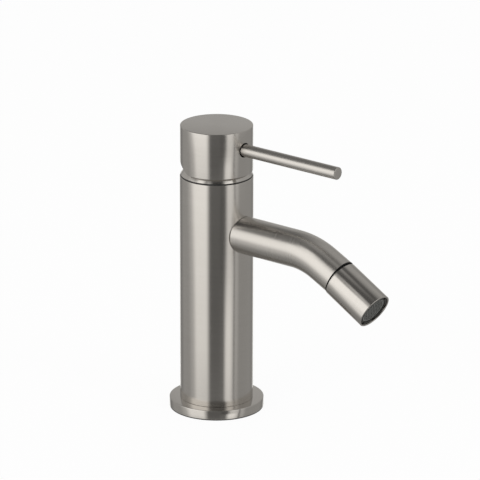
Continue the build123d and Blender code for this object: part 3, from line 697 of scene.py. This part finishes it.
def hand_over(piece: bpy.types.Object, body: str, *nodes: str, slot: Slot = Slot.STEEL) -> None:
    """Lets a finished piece ride on its body in place of its CAD nodes.

    Args:
        piece: the finished piece.
        body: the body that it rides on.
        nodes: the CAD nodes that it stands for.
        slot: the record's slot for its finish, not used.
    """
    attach(piece, body)
    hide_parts(*nodes)
    log.info("%s stands for %s", piece.name, ", ".join(nodes))


@dataclass
class Sizes:
    """Driving sizes of the mixer, in metres, as the construction frame has them."""

    turned_gap: float = 0.05 * MM
    flange_radius: float = 27.8 * MM
    flange_height: float = 5.6 * MM
    gasket_proud: float = 0.4 * MM
    column_radius: float = 21.5 * MM
    column_wall: float = 1.9 * MM
    column_height: float = 136.6 * MM
    pivot_drop: float = 11.94 * MM
    spout_drop: float = 32.4 * MM
    spout_radius: float = 11.0 * MM
    spout_wall: float = 1.5 * MM
    spout_straight: float = 60.1 * MM
    bend_radius: float = 47.1 * MM
    bend_angle: float = math.radians(26.0)
    spout_end_run: float = 9.1 * MM
    seam_setback: float = 3.9 * MM
    seam_gap: float = 0.45 * MM
    nozzle_angle: float = math.radians(29.6)

    @property
    def flange_top(self) -> float:
        """Height of the flange's upper face."""
        return self.gasket_proud + self.flange_height

    @property
    def column_top(self) -> float:
        """Height of the column's upper edge."""
        return self.flange_top + self.column_height

    @property
    def column_bore(self) -> float:
        """Inner radius of the column."""
        return self.column_radius - self.column_wall

    @property
    def pivot_height(self) -> float:
        """Height of the point that the handle tips about."""
        return self.column_top - self.pivot_drop

    @property
    def spout_height(self) -> float:
        """Height of the spout's straight run."""
        return self.column_top - self.spout_drop

    @property
    def spout_direction(self) -> Vector:
        """Direction of the spout's end."""
        return Vector((0, -math.cos(self.bend_angle), -math.sin(self.bend_angle)))

    @property
    def nozzle_direction(self) -> Vector:
        """Direction of the nozzle at rest."""
        return Vector((0, -math.cos(self.nozzle_angle), -math.sin(self.nozzle_angle)))

    @property
    def ball_centre(self) -> Vector:
        """Centre of the ball joint, past the bend.

        Returns:
            The point.
        """
        tangent = self.bend_radius * math.tan(self.bend_angle / 2)
        corner = Vector((0, -self.spout_straight - tangent, self.spout_height))
        return corner + self.spout_direction * (tangent + self.spout_end_run)

    @property
    def spout_end_radius(self) -> float:
        """Radius of the spout's domed end about the ball's centre."""
        return math.hypot(self.spout_radius, self.seam_setback)


@dataclass
class Base:
    """Round flange that stands on the deck."""

    sizes: Sizes
    shop: Workshop
    spigot_radius: float = 17.0 * MM
    gasket_rim: float = 2.4 * MM
    gasket_wall_share: float = 0.476
    gasket_lip_inset: float = 0.2 * MM
    groove_top: float = 2.0 * MM
    edge: float = 0.35 * MM

    @property
    def groove_outer(self) -> float:
        """Outer radius of the gasket's ring in its groove."""
        return self.sizes.flange_radius - self.gasket_rim

    @property
    def groove_inner(self) -> float:
        """Inner radius of the gasket's ring in its groove."""
        wall = self.gasket_wall_share * (self.groove_outer - self.spigot_radius)
        return self.spigot_radius + wall

    def gasket(self) -> bpy.types.Object:
        """Turns the deck gasket, whose thin lip shows as a dark line under the flange.

        Returns:
            The gasket.
        """
        sizes = self.sizes
        lip = sizes.flange_radius - self.gasket_lip_inset
        return Bench.turn("gasket_ring", [
            Corner(self.groove_inner, 0),
            Corner(lip, 0),
            Corner(lip, sizes.gasket_proud),
            Corner(self.groove_outer, sizes.gasket_proud),
            Corner(self.groove_outer, self.groove_top),
            Corner(self.groove_inner, self.groove_top),
        ], Turning.LARGE)

    def flange(self) -> bpy.types.Object:
        """Turns the flange with its eased edges and the groove for the deck gasket.

        Returns:
            The flange.
        """
        sizes = self.sizes
        groove_outer = self.groove_outer + sizes.turned_gap
        groove_inner = self.groove_inner - sizes.turned_gap
        bore = self.spigot_radius + sizes.turned_gap
        foot, top, outer = sizes.gasket_proud, sizes.flange_top, sizes.flange_radius
        return Bench.turn("flange_shell", [
            Corner(bore, top),
            Corner(outer, top, self.edge),
            Corner(outer, foot, self.edge),
            Corner(groove_outer, foot),
            Corner(groove_outer, self.groove_top),
            Corner(groove_inner, self.groove_top),
            Corner(groove_inner, foot),
            Corner(bore, foot),
        ], Turning.LARGE)

    def build(self) -> None:
        """Makes and dresses the base."""
        flange = self.flange()
        Bench.smooth(flange)
        finish = brushed_steel("flange_steel", roughness=0.13, anisotropy=0.3)
        self.shop.dress(flange, finish.material())
        hand_over(flange, "mixer_body", "base_flange")
        gasket = self.gasket()
        Bench.smooth(gasket)
        self.shop.dress(gasket, self.shop.by_slot[Slot.RUBBER])
        hand_over(gasket, "mixer_body", "base_gasket", slot=Slot.RUBBER)


@dataclass
class Column:
    """Brushed outer tube and the dome ring that closes it."""

    sizes: Sizes
    shop: Workshop
    edge: float = 0.35 * MM
    foot_edge: float = 0.25 * MM
    union_hole_radius: float = 8.05 * MM
    ring_gap: float = 0.8 * MM
    dome_edge_inset: float = 0.4 * MM
    dome_wall: float = 2.0 * MM
    dome_opening_radius: float = 14.5 * MM
    dome_thread_bore: float = 17.05 * MM
    skirt_length: float = 6.0 * MM
    outer_steps: int = 28
    inner_steps: int = 7

    @property
    def dome_foot(self) -> float:
        """Height of the dome's lower edge."""
        return self.sizes.column_top + self.ring_gap

    @property
    def dome_edge_radius(self) -> float:
        """Radius of the dome's lower edge about the column's axis."""
        return self.sizes.column_radius - self.dome_edge_inset

    @property
    def dome_radius(self) -> float:
        """Radius of the dome about the handle's pivot."""
        return math.hypot(self.dome_edge_radius, self.dome_foot - self.sizes.pivot_height)

    def tube(self) -> bpy.types.Object:
        """Turns the column and drills it for the spout's union.

        Returns:
            The column.
        """
        sizes = self.sizes
        column = Bench.turn("column_shell", [
            Corner(sizes.column_bore, sizes.flange_top),
            Corner(sizes.column_bore, sizes.column_top),
            Corner(sizes.column_radius, sizes.column_top, self.edge),
            Corner(sizes.column_radius, sizes.flange_top, self.foot_edge),
        ], Turning.LARGE)
        middle = Vector((0, 0, sizes.spout_height))
        front = Vector((0, -2 * sizes.column_radius, sizes.spout_height))
        Bench.carve(column, Bench.rod(self.union_hole_radius, middle, front, Turning.SMALL))
        return column

    def dome(self) -> bpy.types.Object:
        """Turns the dome ring, spherical about the pivot, with its skirt inside the column.

        Returns:
            The dome ring.
        """
        sizes = self.sizes
        pivot, opening = sizes.pivot_height, self.dome_opening_radius
        inner_radius = self.dome_radius - self.dome_wall
        outer = spherical(pivot, self.dome_radius, self.dome_edge_radius, opening, self.outer_steps)
        inner = spherical(pivot, inner_radius, opening, self.dome_thread_bore, self.inner_steps)
        skirt_foot = self.dome_foot - self.skirt_length
        skirt_radius = sizes.column_bore - sizes.turned_gap
        return Bench.turn("dome_shell", [
            *outer,
            *inner,
            Corner(self.dome_thread_bore, skirt_foot),
            Corner(skirt_radius, skirt_foot),
            Corner(skirt_radius, self.dome_foot),
        ], Turning.LARGE)

    def build(self) -> None:
        """Makes and dresses the column and the dome."""
        for piece, node in ((self.tube(), "body_column"), (self.dome(), "dome_ring")):
            Bench.smooth(piece)
            self.shop.dress(piece, self.shop.by_slot[Slot.STEEL])
            hand_over(piece, "mixer_body", node)


@dataclass
class Handle:
    """Cap that tips and turns over the dome, and the lever rod that stands in it."""

    sizes: Sizes
    shop: Workshop
    dome_radius: float
    dome_foot: float
    inset: float = 0.2 * MM
    height: float = 27.2 * MM
    rise: float = 2.7 * MM
    edge: float = 0.45 * MM
    foot_edge: float = 0.12 * MM
    swing_gap: float = 0.35 * MM
    wall: float = 3.4 * MM
    ceiling_gap: float = 0.4 * MM
    relief_start: float = 4.2 * MM
    relief_angle: float = math.radians(27.5)
    insert_radius: float = 7.0 * MM
    insert_above_lever: float = 6.8 * MM
    insert_headroom: float = 0.5 * MM
    screw_radius: float = 2.0 * MM
    lever_radius: float = 3.7 * MM
    lever_reach: float = 90.7 * MM
    lever_drop: float = 11.5 * MM
    lever_edge: float = 0.4 * MM
    hole_radius: float = 4.35 * MM
    hole_depth: float = 7.3 * MM
    thread_radius: float = 2.95 * MM
    tip_gap: float = 1.0 * MM
    clearance_steps: int = 10

    @property
    def radius(self) -> float:
        """Outer radius of the cap."""
        return self.sizes.column_radius - self.inset

    @property
    def foot(self) -> float:
        """Height of the cap's lower edge."""
        return self.dome_foot + self.rise

    @property
    def top(self) -> float:
        """Height of the cap's upper face."""
        return self.foot + self.height

    @property
    def lever_height(self) -> float:
        """Height of the lever's axis."""
        return self.top - self.lever_drop

    @property
    def hole_floor(self) -> float:
        """How far in front of the axis the lever's hole ends."""
        return self.radius - self.hole_depth

    def ahead(self, distance: float) -> Vector:
        """Point on the lever's axis at a distance in front of the column's axis."""
        return Vector((0, -distance, self.lever_height))

    def relief_cutter(self) -> bpy.types.Object:
        """Block whose upper face is the slanted relief at the back of the cap.

        Returns:
            The cutter.
        """
        side = 4 * self.radius
        slope = Vector((0, -math.sin(self.relief_angle), math.cos(self.relief_angle)))
        start = Vector((0, self.relief_start, self.foot))
        return Bench.block(side, start - slope * side / 2, slope)

    def cap(self) -> bpy.types.Object:
        """Turns the cap, cuts its relief and drills it for the lever, the insert and the screw.

        Returns:
            The cap.
        """
        pivot = self.sizes.pivot_height
        hollow = self.dome_radius + self.swing_gap
        ceiling = pivot + hollow + self.ceiling_gap
        inner_radius = self.radius - self.wall
        rim_polar = math.acos((self.foot - pivot) / hollow)
        clearance = arc(pivot, hollow, polar_of(inner_radius, hollow), rim_polar, self.clearance_steps)
        cap = Bench.turn("cap_shell", [
            Corner(0, ceiling),
            Corner(inner_radius, ceiling),
            *clearance,
            Corner(self.radius, self.foot, self.foot_edge),
            Corner(self.radius, self.top, self.edge),
            Corner(0, self.top),
        ], Turning.LARGE)
        Bench.carve(cap, self.relief_cutter())
        gap = self.sizes.turned_gap
        insert_top = self.lever_height + self.insert_above_lever + self.insert_headroom
        low, high = Vector((0, 0, pivot)), Vector((0, 0, insert_top))
        Bench.carve(cap, Bench.rod(self.insert_radius + gap, low, high, Turning.SMALL))
        middle, beyond = self.ahead(0), self.ahead(2 * self.radius)
        Bench.carve(cap, Bench.rod(self.hole_radius, self.ahead(self.hole_floor), beyond, Turning.SMALL))
        Bench.carve(cap, Bench.rod(self.thread_radius + gap, middle, beyond, Turning.SMALL))
        behind = self.ahead(-2 * self.radius)
        Bench.carve(cap, Bench.rod(self.screw_radius + gap, middle, behind, Turning.SMALL))
        return cap

    def lever(self) -> bpy.types.Object:
        """Turns the lever rod with its eased tip and its threaded end.

        Returns:
            The rod.
        """
        thread_length = self.hole_floor - self.insert_radius - self.tip_gap
        length = self.lever_reach - self.hole_floor
        rod = Bench.turn("lever_bar", [
            Corner(0, -thread_length),
            Corner(self.thread_radius, -thread_length),
            Corner(self.thread_radius, 0),
            Corner(self.lever_radius, 0),
            Corner(self.lever_radius, length, self.lever_edge),
            Corner(0, length),
        ], Turning.MEDIUM)
        return Bench.aim(rod, self.ahead(self.hole_floor), Vector((0, -1, 0)))

    def build(self) -> None:
        """Makes and dresses the handle."""
        cap = self.cap()
        Bench.smooth(cap)
        self.shop.dress(cap, self.shop.by_slot[Slot.STEEL])
        hand_over(cap, "handle", "handle_cap")
        rod = self.lever()
        Bench.smooth(rod)
        finish = brushed_steel("lever_steel", roughness=0.30, centre=self.ahead(0), axis=(0, 1, 0))
        self.shop.dress(rod, finish.material())
        hand_over(rod, "handle", "lever_rod")


@dataclass
class Spout:
    """Bent tube from the column to the ball joint."""

    sizes: Sizes
    shop: Workshop
    column_seam: float = 0.3 * MM
    end_setback: float = 4.05 * MM
    facing_bore: float = 10.2 * MM
    bend_steps: int = 30
    end_steps: int = 24
    over: float = 1.0 * MM
    crease: float = 15.0

    def bar(self, name: str, radius: float, over: float) -> bpy.types.Object:
        """Extrudes and spins a round bar along the spout's path.

        Args:
            name: name of the bar.
            radius: radius of the bar.
            over: how far the bar runs past both ends of the path.

        Returns:
            The bar, a closed mesh.
        """
        sizes = self.sizes
        start = sizes.column_bore - over
        Bench.clear()
        bpy.ops.mesh.primitive_circle_add(
            vertices=Turning.MEDIUM.value,
            radius=radius,
            location=(0, -start, sizes.spout_height),
            rotation=(FULL_TURN / 4, 0, 0),
        )
        bar = Bench.added(name)
        Bench.edit()
        run = Vector((0, start - sizes.spout_straight, 0))
        bpy.ops.mesh.extrude_region_move(TRANSFORM_OT_translate={"value": run})
        bpy.ops.mesh.spin(
            steps=self.bend_steps,
            angle=-sizes.bend_angle,
            center=(0, -sizes.spout_straight, sizes.spout_height - sizes.bend_radius),
            axis=(1, 0, 0),
        )
        last = sizes.spout_direction * (sizes.spout_end_run + sizes.spout_end_radius + over)
        bpy.ops.mesh.extrude_region_move(TRANSFORM_OT_translate={"value": last})
        bpy.ops.mesh.select_all(action="SELECT")
        bpy.ops.mesh.fill_holes(sides=0)
        Bench.close()
        return bar

    def tube(self) -> bpy.types.Object:
        """Bores one bar with another, so that the bent spout has its even wall.

        Returns:
            The tube, with its ends uncut.
        """
        bore = self.sizes.spout_radius - self.sizes.spout_wall
        tube = self.bar("spout_pipe", self.sizes.spout_radius, 0)
        Bench.carve(tube, self.bar("spout_bore", bore, self.over))
        return tube

    def end_cutter(self) -> bpy.types.Object:
        """Turned tool that leaves the spout's end domed about the ball's centre.

        Returns:
            The cutter.
        """
        sizes = self.sizes
        inner = sizes.spout_radius - sizes.spout_wall - self.over
        outer = sizes.spout_radius + self.over / 2
        clear = sizes.spout_radius + 3 * self.over
        reach = 2 * sizes.spout_end_radius
        dome = spherical(0, sizes.spout_end_radius, inner, outer, self.end_steps)
        tool = Bench.turn("end_tool", [
            *dome,
            Corner(clear, dome[-1].height),
            Corner(clear, reach),
            Corner(inner, reach),
        ], Turning.MEDIUM)
        return Bench.aim(tool, sizes.ball_centre, sizes.spout_direction)

    def facing_cutter(self) -> bpy.types.Object:
        """Bored block that faces the spout's end, so that the seam stays open all round at rest.

        Returns:
            The cutter.
        """
        sizes = self.sizes
        side = 4 * sizes.spout_radius
        middle = sizes.ball_centre + sizes.nozzle_direction * (self.end_setback + side / 2)
        beyond = middle + sizes.nozzle_direction * side
        block = Bench.block(side, middle, sizes.nozzle_direction)
        Bench.carve(block, Bench.rod(self.facing_bore, sizes.ball_centre, beyond, Turning.MEDIUM))
        return block

    def build(self) -> None:
        """Makes and dresses the spout, with its saddle on the column."""
        sizes = self.sizes
        centre = Vector((0, 0, sizes.spout_height))
        reach = Vector((0, 0, 2 * sizes.spout_radius))
        saddle_radius = sizes.column_radius + self.column_seam
        tube = self.tube()
        Bench.carve(tube, Bench.rod(saddle_radius, centre - reach, centre + reach, Turning.LARGE))
        Bench.carve(tube, self.end_cutter())
        Bench.carve(tube, self.facing_cutter())
        Bench.smooth(tube, self.crease)
        finish = brushed_steel("spout_steel", 0.26, centre=centre, axis=(0, 1, 0), relief=0.002 * MM)
        self.shop.dress(tube, finish.material())
        # Painted shade: the domed end and the faced ring go near-black, so that the seam reads as a dark
        # shadow gap.
        self.shop.shade_sphere(tube, sizes.ball_centre, sizes.spout_end_radius)
        self.shop.shade_facing(tube, sizes.nozzle_direction)
        hand_over(tube, "mixer_body", "spout_tube")


@dataclass
class Nozzle:
    """Steel sleeve that swivels on the ball and carries the aerator."""

    sizes: Sizes
    shop: Workshop
    radius: float = 11.24 * MM
    length: float = 33.8 * MM
    edge: float = 0.3 * MM
    back_rim: float = 0.14 * MM
    joint_bore: float = 9.95 * MM
    aerator_bore: float = 10.2 * MM
    aerator_depth: float = 10.5 * MM
    back_steps: int = 8

    @property
    def hollow_radius(self) -> float:
        """Radius of the sleeve's hollow back about the ball's centre."""
        return self.sizes.spout_end_radius + self.sizes.seam_gap

    def sleeve(self) -> bpy.types.Object:
        """Turns the sleeve with its hollow back and stepped bore.

        Returns:
            The sleeve.
        """
        rim = self.radius - self.back_rim
        step = self.length - self.aerator_depth
        back = spherical(0, self.hollow_radius, self.joint_bore, rim, self.back_steps)
        sleeve = Bench.turn("nozzle_sleeve", [
            *back,
            Corner(self.radius, back[-1].height + self.back_rim),
            Corner(self.radius, self.length, self.edge),
            Corner(self.aerator_bore, self.length, self.edge),
            Corner(self.aerator_bore, step),
            Corner(self.joint_bore, step),
        ], Turning.MEDIUM)
        return Bench.aim(sleeve, self.sizes.ball_centre, self.sizes.nozzle_direction)

    def build(self) -> None:
        """Makes and dresses the nozzle."""
        sleeve = self.sleeve()
        Bench.smooth(sleeve)
        centre = self.sizes.ball_centre
        finish = brushed_steel("nozzle_steel", centre=centre, axis=self.sizes.nozzle_direction)
        self.shop.dress(sleeve, finish.material())
        # Painted shade: the sleeve's hollow back goes near-black, so that the seam reads as a dark shadow
        # gap.
        self.shop.shade_sphere(sleeve, centre, self.hollow_radius)
        hand_over(sleeve, "nozzle", "nozzle_shell")


@dataclass
class InnerWorks:
    """CAD nodes that keep their own shape: cartridge, waterways, ball joint, seals and aerator."""

    shop: Workshop
    collar: str = "aerator_housing"
    mesh: str = "aerator_mesh"

    def build(self) -> None:
        """Dresses every CAD node by its slot in the record, and the collar round the mesh darker."""
        slots = {part["node"]: part["material_slot"] for part in frame["record"]["subparts"]}
        for node, piece in frame["nodes"].items():
            self.shop.dress(piece, self.shop.by_slot[Slot(slots[node])])
            log.info("%s dressed as %s", node, slots[node])
        self.shop.dress(frame["nodes"][self.collar], self.shop.dark_moulding)
        self.shop.dress(frame["nodes"][self.mesh], self.shop.dark_mesh)


@dataclass(frozen=True)
class Card:
    """Card or soft box of the light tent, lit evenly between two bearings.

    Args:
        first: left bearing, in degrees to the right of the camera's side, seen from the object.
        last: right bearing.
        level: brightness, where 1 looks as bright as white paper.
    """

    first: float
    last: float
    level: float


@dataclass
class LightTent:
    """Shell of soft boxes and dark cards that only the metal sees.

    Bearings and elevations are seen from the object, in degrees. A rise, a fall or a span of bearings
    says where something starts and where it is complete.

    Args:
        facing: level direction from the object to the camera.
        aside: level direction to the right of the picture.
        centre: middle of the tent.
        radius: radius of the tent.
        sides: divisions round the tent.
        rings: divisions from its foot to its top.
        peak: brightness of a card whose colour is white.
        warmth: tint of the light.
        lean: how far the cards on the left lean over towards their tops.
        lean_rise: elevations of that lean.
        lean_bearings: bearings of that lean.
        edge_lean: how far the cards on the right lean the other way.
        edge_loss_share: share of their light that is missing where they lean.
        edge_rise: elevations of that lean and that loss.
        edge_left: bearings of their left side.
        edge_right: bearings of their right side, from its far end inwards.
        middle_gain_share: share of light that the side cards gain towards their tops.
        middle_rise: elevations of that gain.
        brow_rise: where the side cards give way to the brow.
        ceiling_rise: where the brow gives way to the ceiling.
        zenith_rise: where the ceiling gives way to the zenith.
        ground: level of the deck's reflection.
        ground_fall: where the cards give way to the deck, downwards.
        rear_fall: where the low box at the rear sets in, downwards.
        rear_depth_shares: where it sets in behind the object, as shares of the tent's radius.
    """

    facing: Vector
    aside: Vector
    centre: Vector
    radius: float = 6.0
    sides: int = 96
    rings: int = 48
    peak: float = 1.6
    warmth: Colour = (1.0, 0.985, 0.955)
    lean: float = 14.0
    lean_rise: Span = (-18.0, 0.0)
    lean_bearings: Span = (-40.0, -70.0)
    edge_lean: float = 5.0
    edge_loss_share: float = 0.38
    edge_rise: Span = (-19.4, -17.6)
    edge_left: Span = (6.0, 16.0)
    edge_right: Span = (60.0, 48.0)
    middle_gain_share: float = 0.27
    middle_rise: Span = (-18.0, 5.0)
    brow_rise: Span = (29.0, 37.0)
    ceiling_rise: Span = (46.0, 52.0)
    zenith_rise: Span = (62.0, 80.0)
    ground: float = 0.28
    ground_fall: Span = (-22.0, -48.0)
    rear_fall: Span = (3.0, -7.0)
    rear_depth_shares: Span = (0.0, -0.5)
    rear_card: Card = Card(162, 198, 0.36)
    low_rear_box: Card = Card(170, 190, 1.00)
    side_cards: tuple[Card, ...] = (
        Card(-154, -148, 0.23),
        Card(-126, -98, 0.39),
        Card(-83, -80, 0.55),
        Card(-66, -32, 1.05),
        Card(-20, 6, 0.14),
        Card(12, 21, 0.17),
        Card(31, 43, 1.16),
        Card(50, 52, 0.84),
        Card(55.5, 58, 0.22),
        Card(61, 67, 0.54),
        Card(76, 130, 0.36),
        Card(146, 152, 0.27),
    )
    rear_brow: Card = Card(178, 182, 0.27)
    brow_cards: tuple[Card, ...] = (
        Card(-165, -130, 0.16),
        Card(-102, -80, 0.18),
        Card(-68, -50, 1.30),
        Card(-42, -38, 0.34),
        Card(-30, -26, 0.66),
        Card(-14, 23, 0.03),
        Card(35, 67, 1.30),
        Card(77, 80, 0.60),
        Card(110, 152, 0.44),
    )
    rear_ceiling: Card = Card(178, 182, 0.27)
    ceiling_cards: tuple[Card, ...] = (
        Card(-165, -130, 0.16),
        Card(-102, -98, 0.21),
        Card(-50, 70, 0.11),
        Card(130, 152, 0.44),
    )
    rear_zenith: Card = Card(178, 182, 0.36)
    zenith_cards: tuple[Card, ...] = (
        Card(-150, 10, 0.38),
        Card(50, 110, 0.12),
        Card(145, 150, 0.36),
    )

    def level_colour(self, level: float) -> Colour:
        """Card colour at a level of brightness."""
        red, green, blue = self.warmth
        return (red * level / self.peak, green * level / self.peak, blue * level / self.peak)

    def ring(self, surface: Surface, bearing: Value, cards: Sequence[Card], rear: Card) -> Value:
        """Light of a ring of cards that run softly into each other.

        Args:
            surface: the tent's material.
            bearing: bearing from the camera's side, in degrees.
            cards: the cards in order, from left to right.
            rear: the card opposite the camera.

        Returns:
            The colour of the tent.
        """
        behind = CIRCLE / 2
        around = [Card(-behind, rear.last - CIRCLE, rear.level), *cards, Card(rear.first, behind, rear.level)]
        edges = [(edge, card.level) for card in around for edge in (card.first, card.last)]
        stops = [((edge + behind) / CIRCLE, self.level_colour(level)) for edge, level in edges]
        share = surface.math("FRACT", (bearing + (CIRCLE + behind)) * (1 / CIRCLE), 0.0)
        return surface.ramp(share, stops)

    def material(self) -> bpy.types.Material:
        """Shades the tent by bearing and elevation.

        Returns:
            A glow that its surroundings don't light.
        """
        surface = Surface.named("tent_glow")
        ray = surface.vector("NORMALIZE", surface.vector("SUBTRACT", surface.place(), self.centre))
        ahead = surface.vector("DOT_PRODUCT", ray, self.facing, "Value")
        across = surface.vector("DOT_PRODUCT", ray, self.aside, "Value")
        sine = surface.vector("DOT_PRODUCT", ray, (0, 0, 1), "Value")
        bearing = surface.math("ARCTAN2", across, ahead) * (CIRCLE / FULL_TURN)
        elevation = surface.math("ARCSINE", sine, 0.0) * (CIRCLE / FULL_TURN)
        lean = surface.fade(elevation, *self.lean_rise) * surface.fade(bearing, *self.lean_bearings)
        edge = surface.fade(bearing, *self.edge_left) * surface.fade(bearing, *self.edge_right)
        edge = surface.fade(elevation, *self.edge_rise) * edge
        shifted = bearing + lean * self.lean - edge * self.edge_lean
        gain = surface.fade(elevation, *self.middle_rise) * self.middle_gain_share + 1.0
        gain = gain - edge * self.edge_loss_share
        low = surface.fade(elevation, *self.rear_fall) * surface.fade(ahead, *self.rear_depth_shares)
        sides = surface.scaled(self.ring(surface, shifted, self.side_cards, self.rear_card), gain)
        glow = surface.blend(low, sides, self.ring(surface, bearing, self.side_cards, self.low_rear_box))
        for rise, cards, rear in (
            (self.brow_rise, self.brow_cards, self.rear_brow),
            (self.ceiling_rise, self.ceiling_cards, self.rear_ceiling),
            (self.zenith_rise, self.zenith_cards, self.rear_zenith),
        ):
            above = self.ring(surface, bearing, cards, rear)
            glow = surface.blend(surface.fade(elevation, *rise), glow, above)
        down = surface.fade(elevation, *self.ground_fall)
        glow = surface.blend(down, glow, self.level_colour(self.ground))
        return surface.end(surface.node("ShaderNodeEmission", {}, {"Color": glow, "Strength": self.peak}))

    def build(self) -> None:
        """Makes the tent, which only glossy rays see."""
        Bench.clear()
        bpy.ops.mesh.primitive_uv_sphere_add(
            segments=self.sides, ring_count=self.rings, radius=self.radius, location=self.centre
        )
        tent = Bench.added("light_tent")
        tent.data.materials.append(self.material())
        tent.visible_camera = False
        tent.visible_diffuse = False
        tent.visible_shadow = False
        tent.visible_transmission = False


@dataclass(frozen=True)
class Lamp:
    """Large soft lamp aimed at the object.

    Args:
        name: name of the lamp.
        ahead: how far it stands from the object towards the camera, in metres.
        aside: how far to the right of the picture.
        above: how far over that place.
        size: diameter.
        power: power in watts.
    """

    name: str
    ahead: float
    aside: float
    above: float
    size: float
    power: float


@dataclass
class Studio:
    """Floor, light tent, lamps and camera."""

    azimuth: float = math.radians(49.98)
    elevation: float = math.radians(18.29)
    distance: float = 2784.1 * MM
    target_right: float = 13.68 * MM
    target_height: float = 102.55 * MM
    focal_pixels: float = 4754.36
    frame_pixels: float = 480.0
    sensor: float = 36.0
    floor_size: float = 12.0
    floor_drop: float = 0.05 * MM
    floor_colour: Colour = (0.94, 0.94, 0.94)
    floor_glow_share: float = 0.94
    roll: float = math.radians(0.1)
    view_depth: float = 50.0
    ambient_share: float = 0.85
    lamps: tuple[Lamp, ...] = (
        Lamp("left_lamp", 1.6, -1.2, 0.9, 1.2, 9.0),
        Lamp("right_lamp", 1.2, 1.5, 0.9, 1.0, 6.0),
    )

    @property
    def right(self) -> Vector:
        """Direction to the right of the picture."""
        return Vector((math.cos(self.azimuth), -math.sin(self.azimuth), 0))

    @property
    def facing(self) -> Vector:
        """Level direction from the object to the camera."""
        return Vector((-math.sin(self.azimuth), -math.cos(self.azimuth), 0))

    @property
    def back(self) -> Vector:
        """Direction from the object to the camera."""
        return self.facing * math.cos(self.elevation) + Vector((0, 0, math.sin(self.elevation)))

    @property
    def middle(self) -> Vector:
        """Point on the column's axis that the lamps and the tent are centred on."""
        return Vector((0, 0, self.target_height))

    def camera(self) -> None:
        """Sets the camera where the photograph was taken."""
        lens = bpy.data.cameras.new("camera")
        lens.sensor_width = self.sensor
        lens.lens = self.focal_pixels / self.frame_pixels * self.sensor
        lens.clip_end = self.view_depth
        camera = bpy.data.objects.new("camera", lens)
        bpy.context.scene.collection.objects.link(camera)
        up = self.back.cross(self.right)
        turn = Matrix((self.right, up, self.back)).transposed().to_4x4()
        place = self.right * self.target_right + self.middle + self.back * self.distance
        roll = Matrix.Rotation(self.roll, 4, "Z")
        camera.matrix_world = Matrix.Translation(place) @ turn @ roll
        bpy.context.scene.camera = camera

    def floor(self) -> None:
        """Plain pale floor that keeps the object's shadow."""
        Bench.clear()
        bpy.ops.mesh.primitive_plane_add(size=self.floor_size, location=(0, 0, -self.floor_drop))
        floor = Bench.added("floor")
        surface = Surface.named("pale_floor")
        matt = surface.node("ShaderNodeBsdfDiffuse", {}, {"Color": (*self.floor_colour, 1)})
        glow = surface.node("ShaderNodeEmission", {}, {"Color": (1, 1, 1, 1), "Strength": 1.0})
        share = surface.seen_by("Is Camera Ray") * self.floor_glow_share
        mixed = surface.node("ShaderNodeMixShader", {}, {0: share, 1: matt, 2: glow})
        floor.data.materials.append(surface.end(mixed))
        floor.visible_glossy = False

    def light(self, lamp: Lamp) -> None:
        """Sets up one lamp, left out of the metal's reflections.

        Args:
            lamp: the lamp.
        """
        light = bpy.data.lights.new(lamp.name, "AREA")
        light.shape = "DISK"
        light.size = lamp.size
        light.energy = lamp.power
        stand = bpy.data.objects.new(lamp.name, light)
        bpy.context.scene.collection.objects.link(stand)
        place = self.back * lamp.ahead + self.right * lamp.aside + Vector((0, 0, lamp.above))
        aim = (self.middle - place).to_track_quat("-Z", "Y")
        stand.matrix_world = Matrix.Translation(place) @ aim.to_matrix().to_4x4()
        stand.visible_glossy = False

    def world(self) -> None:
        """Even pale surroundings, white to the camera and in the metal."""
        surface = Surface(bpy.data.worlds.new("studio"))
        bpy.context.scene.world = surface.block
        glossy, passed = surface.seen_by("Is Glossy Ray"), surface.seen_by("Is Transmission Ray")
        mirrored = surface.math("MAXIMUM", glossy, passed)
        seen = surface.math("MAXIMUM", surface.seen_by("Is Camera Ray"), mirrored)
        strength = seen * (1 - self.ambient_share) + self.ambient_share
        glow = surface.node("ShaderNodeBackground", {}, {"Strength": strength})
        surface.node("ShaderNodeOutputWorld", {}, {"Surface": glow})

    def build(self) -> None:
        """Sets up the whole studio."""
        bpy.context.scene.view_settings.view_transform = "Standard"
        self.camera()
        self.floor()
        LightTent(self.facing, self.right, self.middle).build()
        for lamp in self.lamps:
            self.light(lamp)
        self.world()


def main() -> None:
    """Builds the mixer and its studio."""
    logging.basicConfig(level=logging.INFO, format="%(name)s %(message)s")
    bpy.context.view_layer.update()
    sizes = Sizes()
    shop = Workshop()
    studio = Studio()
    studio.build()
    column = Column(sizes, shop)
    makers: tuple[Callable[[], None], ...] = (
        InnerWorks(shop).build,
        Base(sizes, shop).build,
        column.build,
        Handle(sizes, shop, column.dome_radius, column.dome_foot).build,
        Spout(sizes, shop).build,
        Nozzle(sizes, shop).build,
    )
    for make in makers:
        make()


if __name__ == "__main__":
    main()
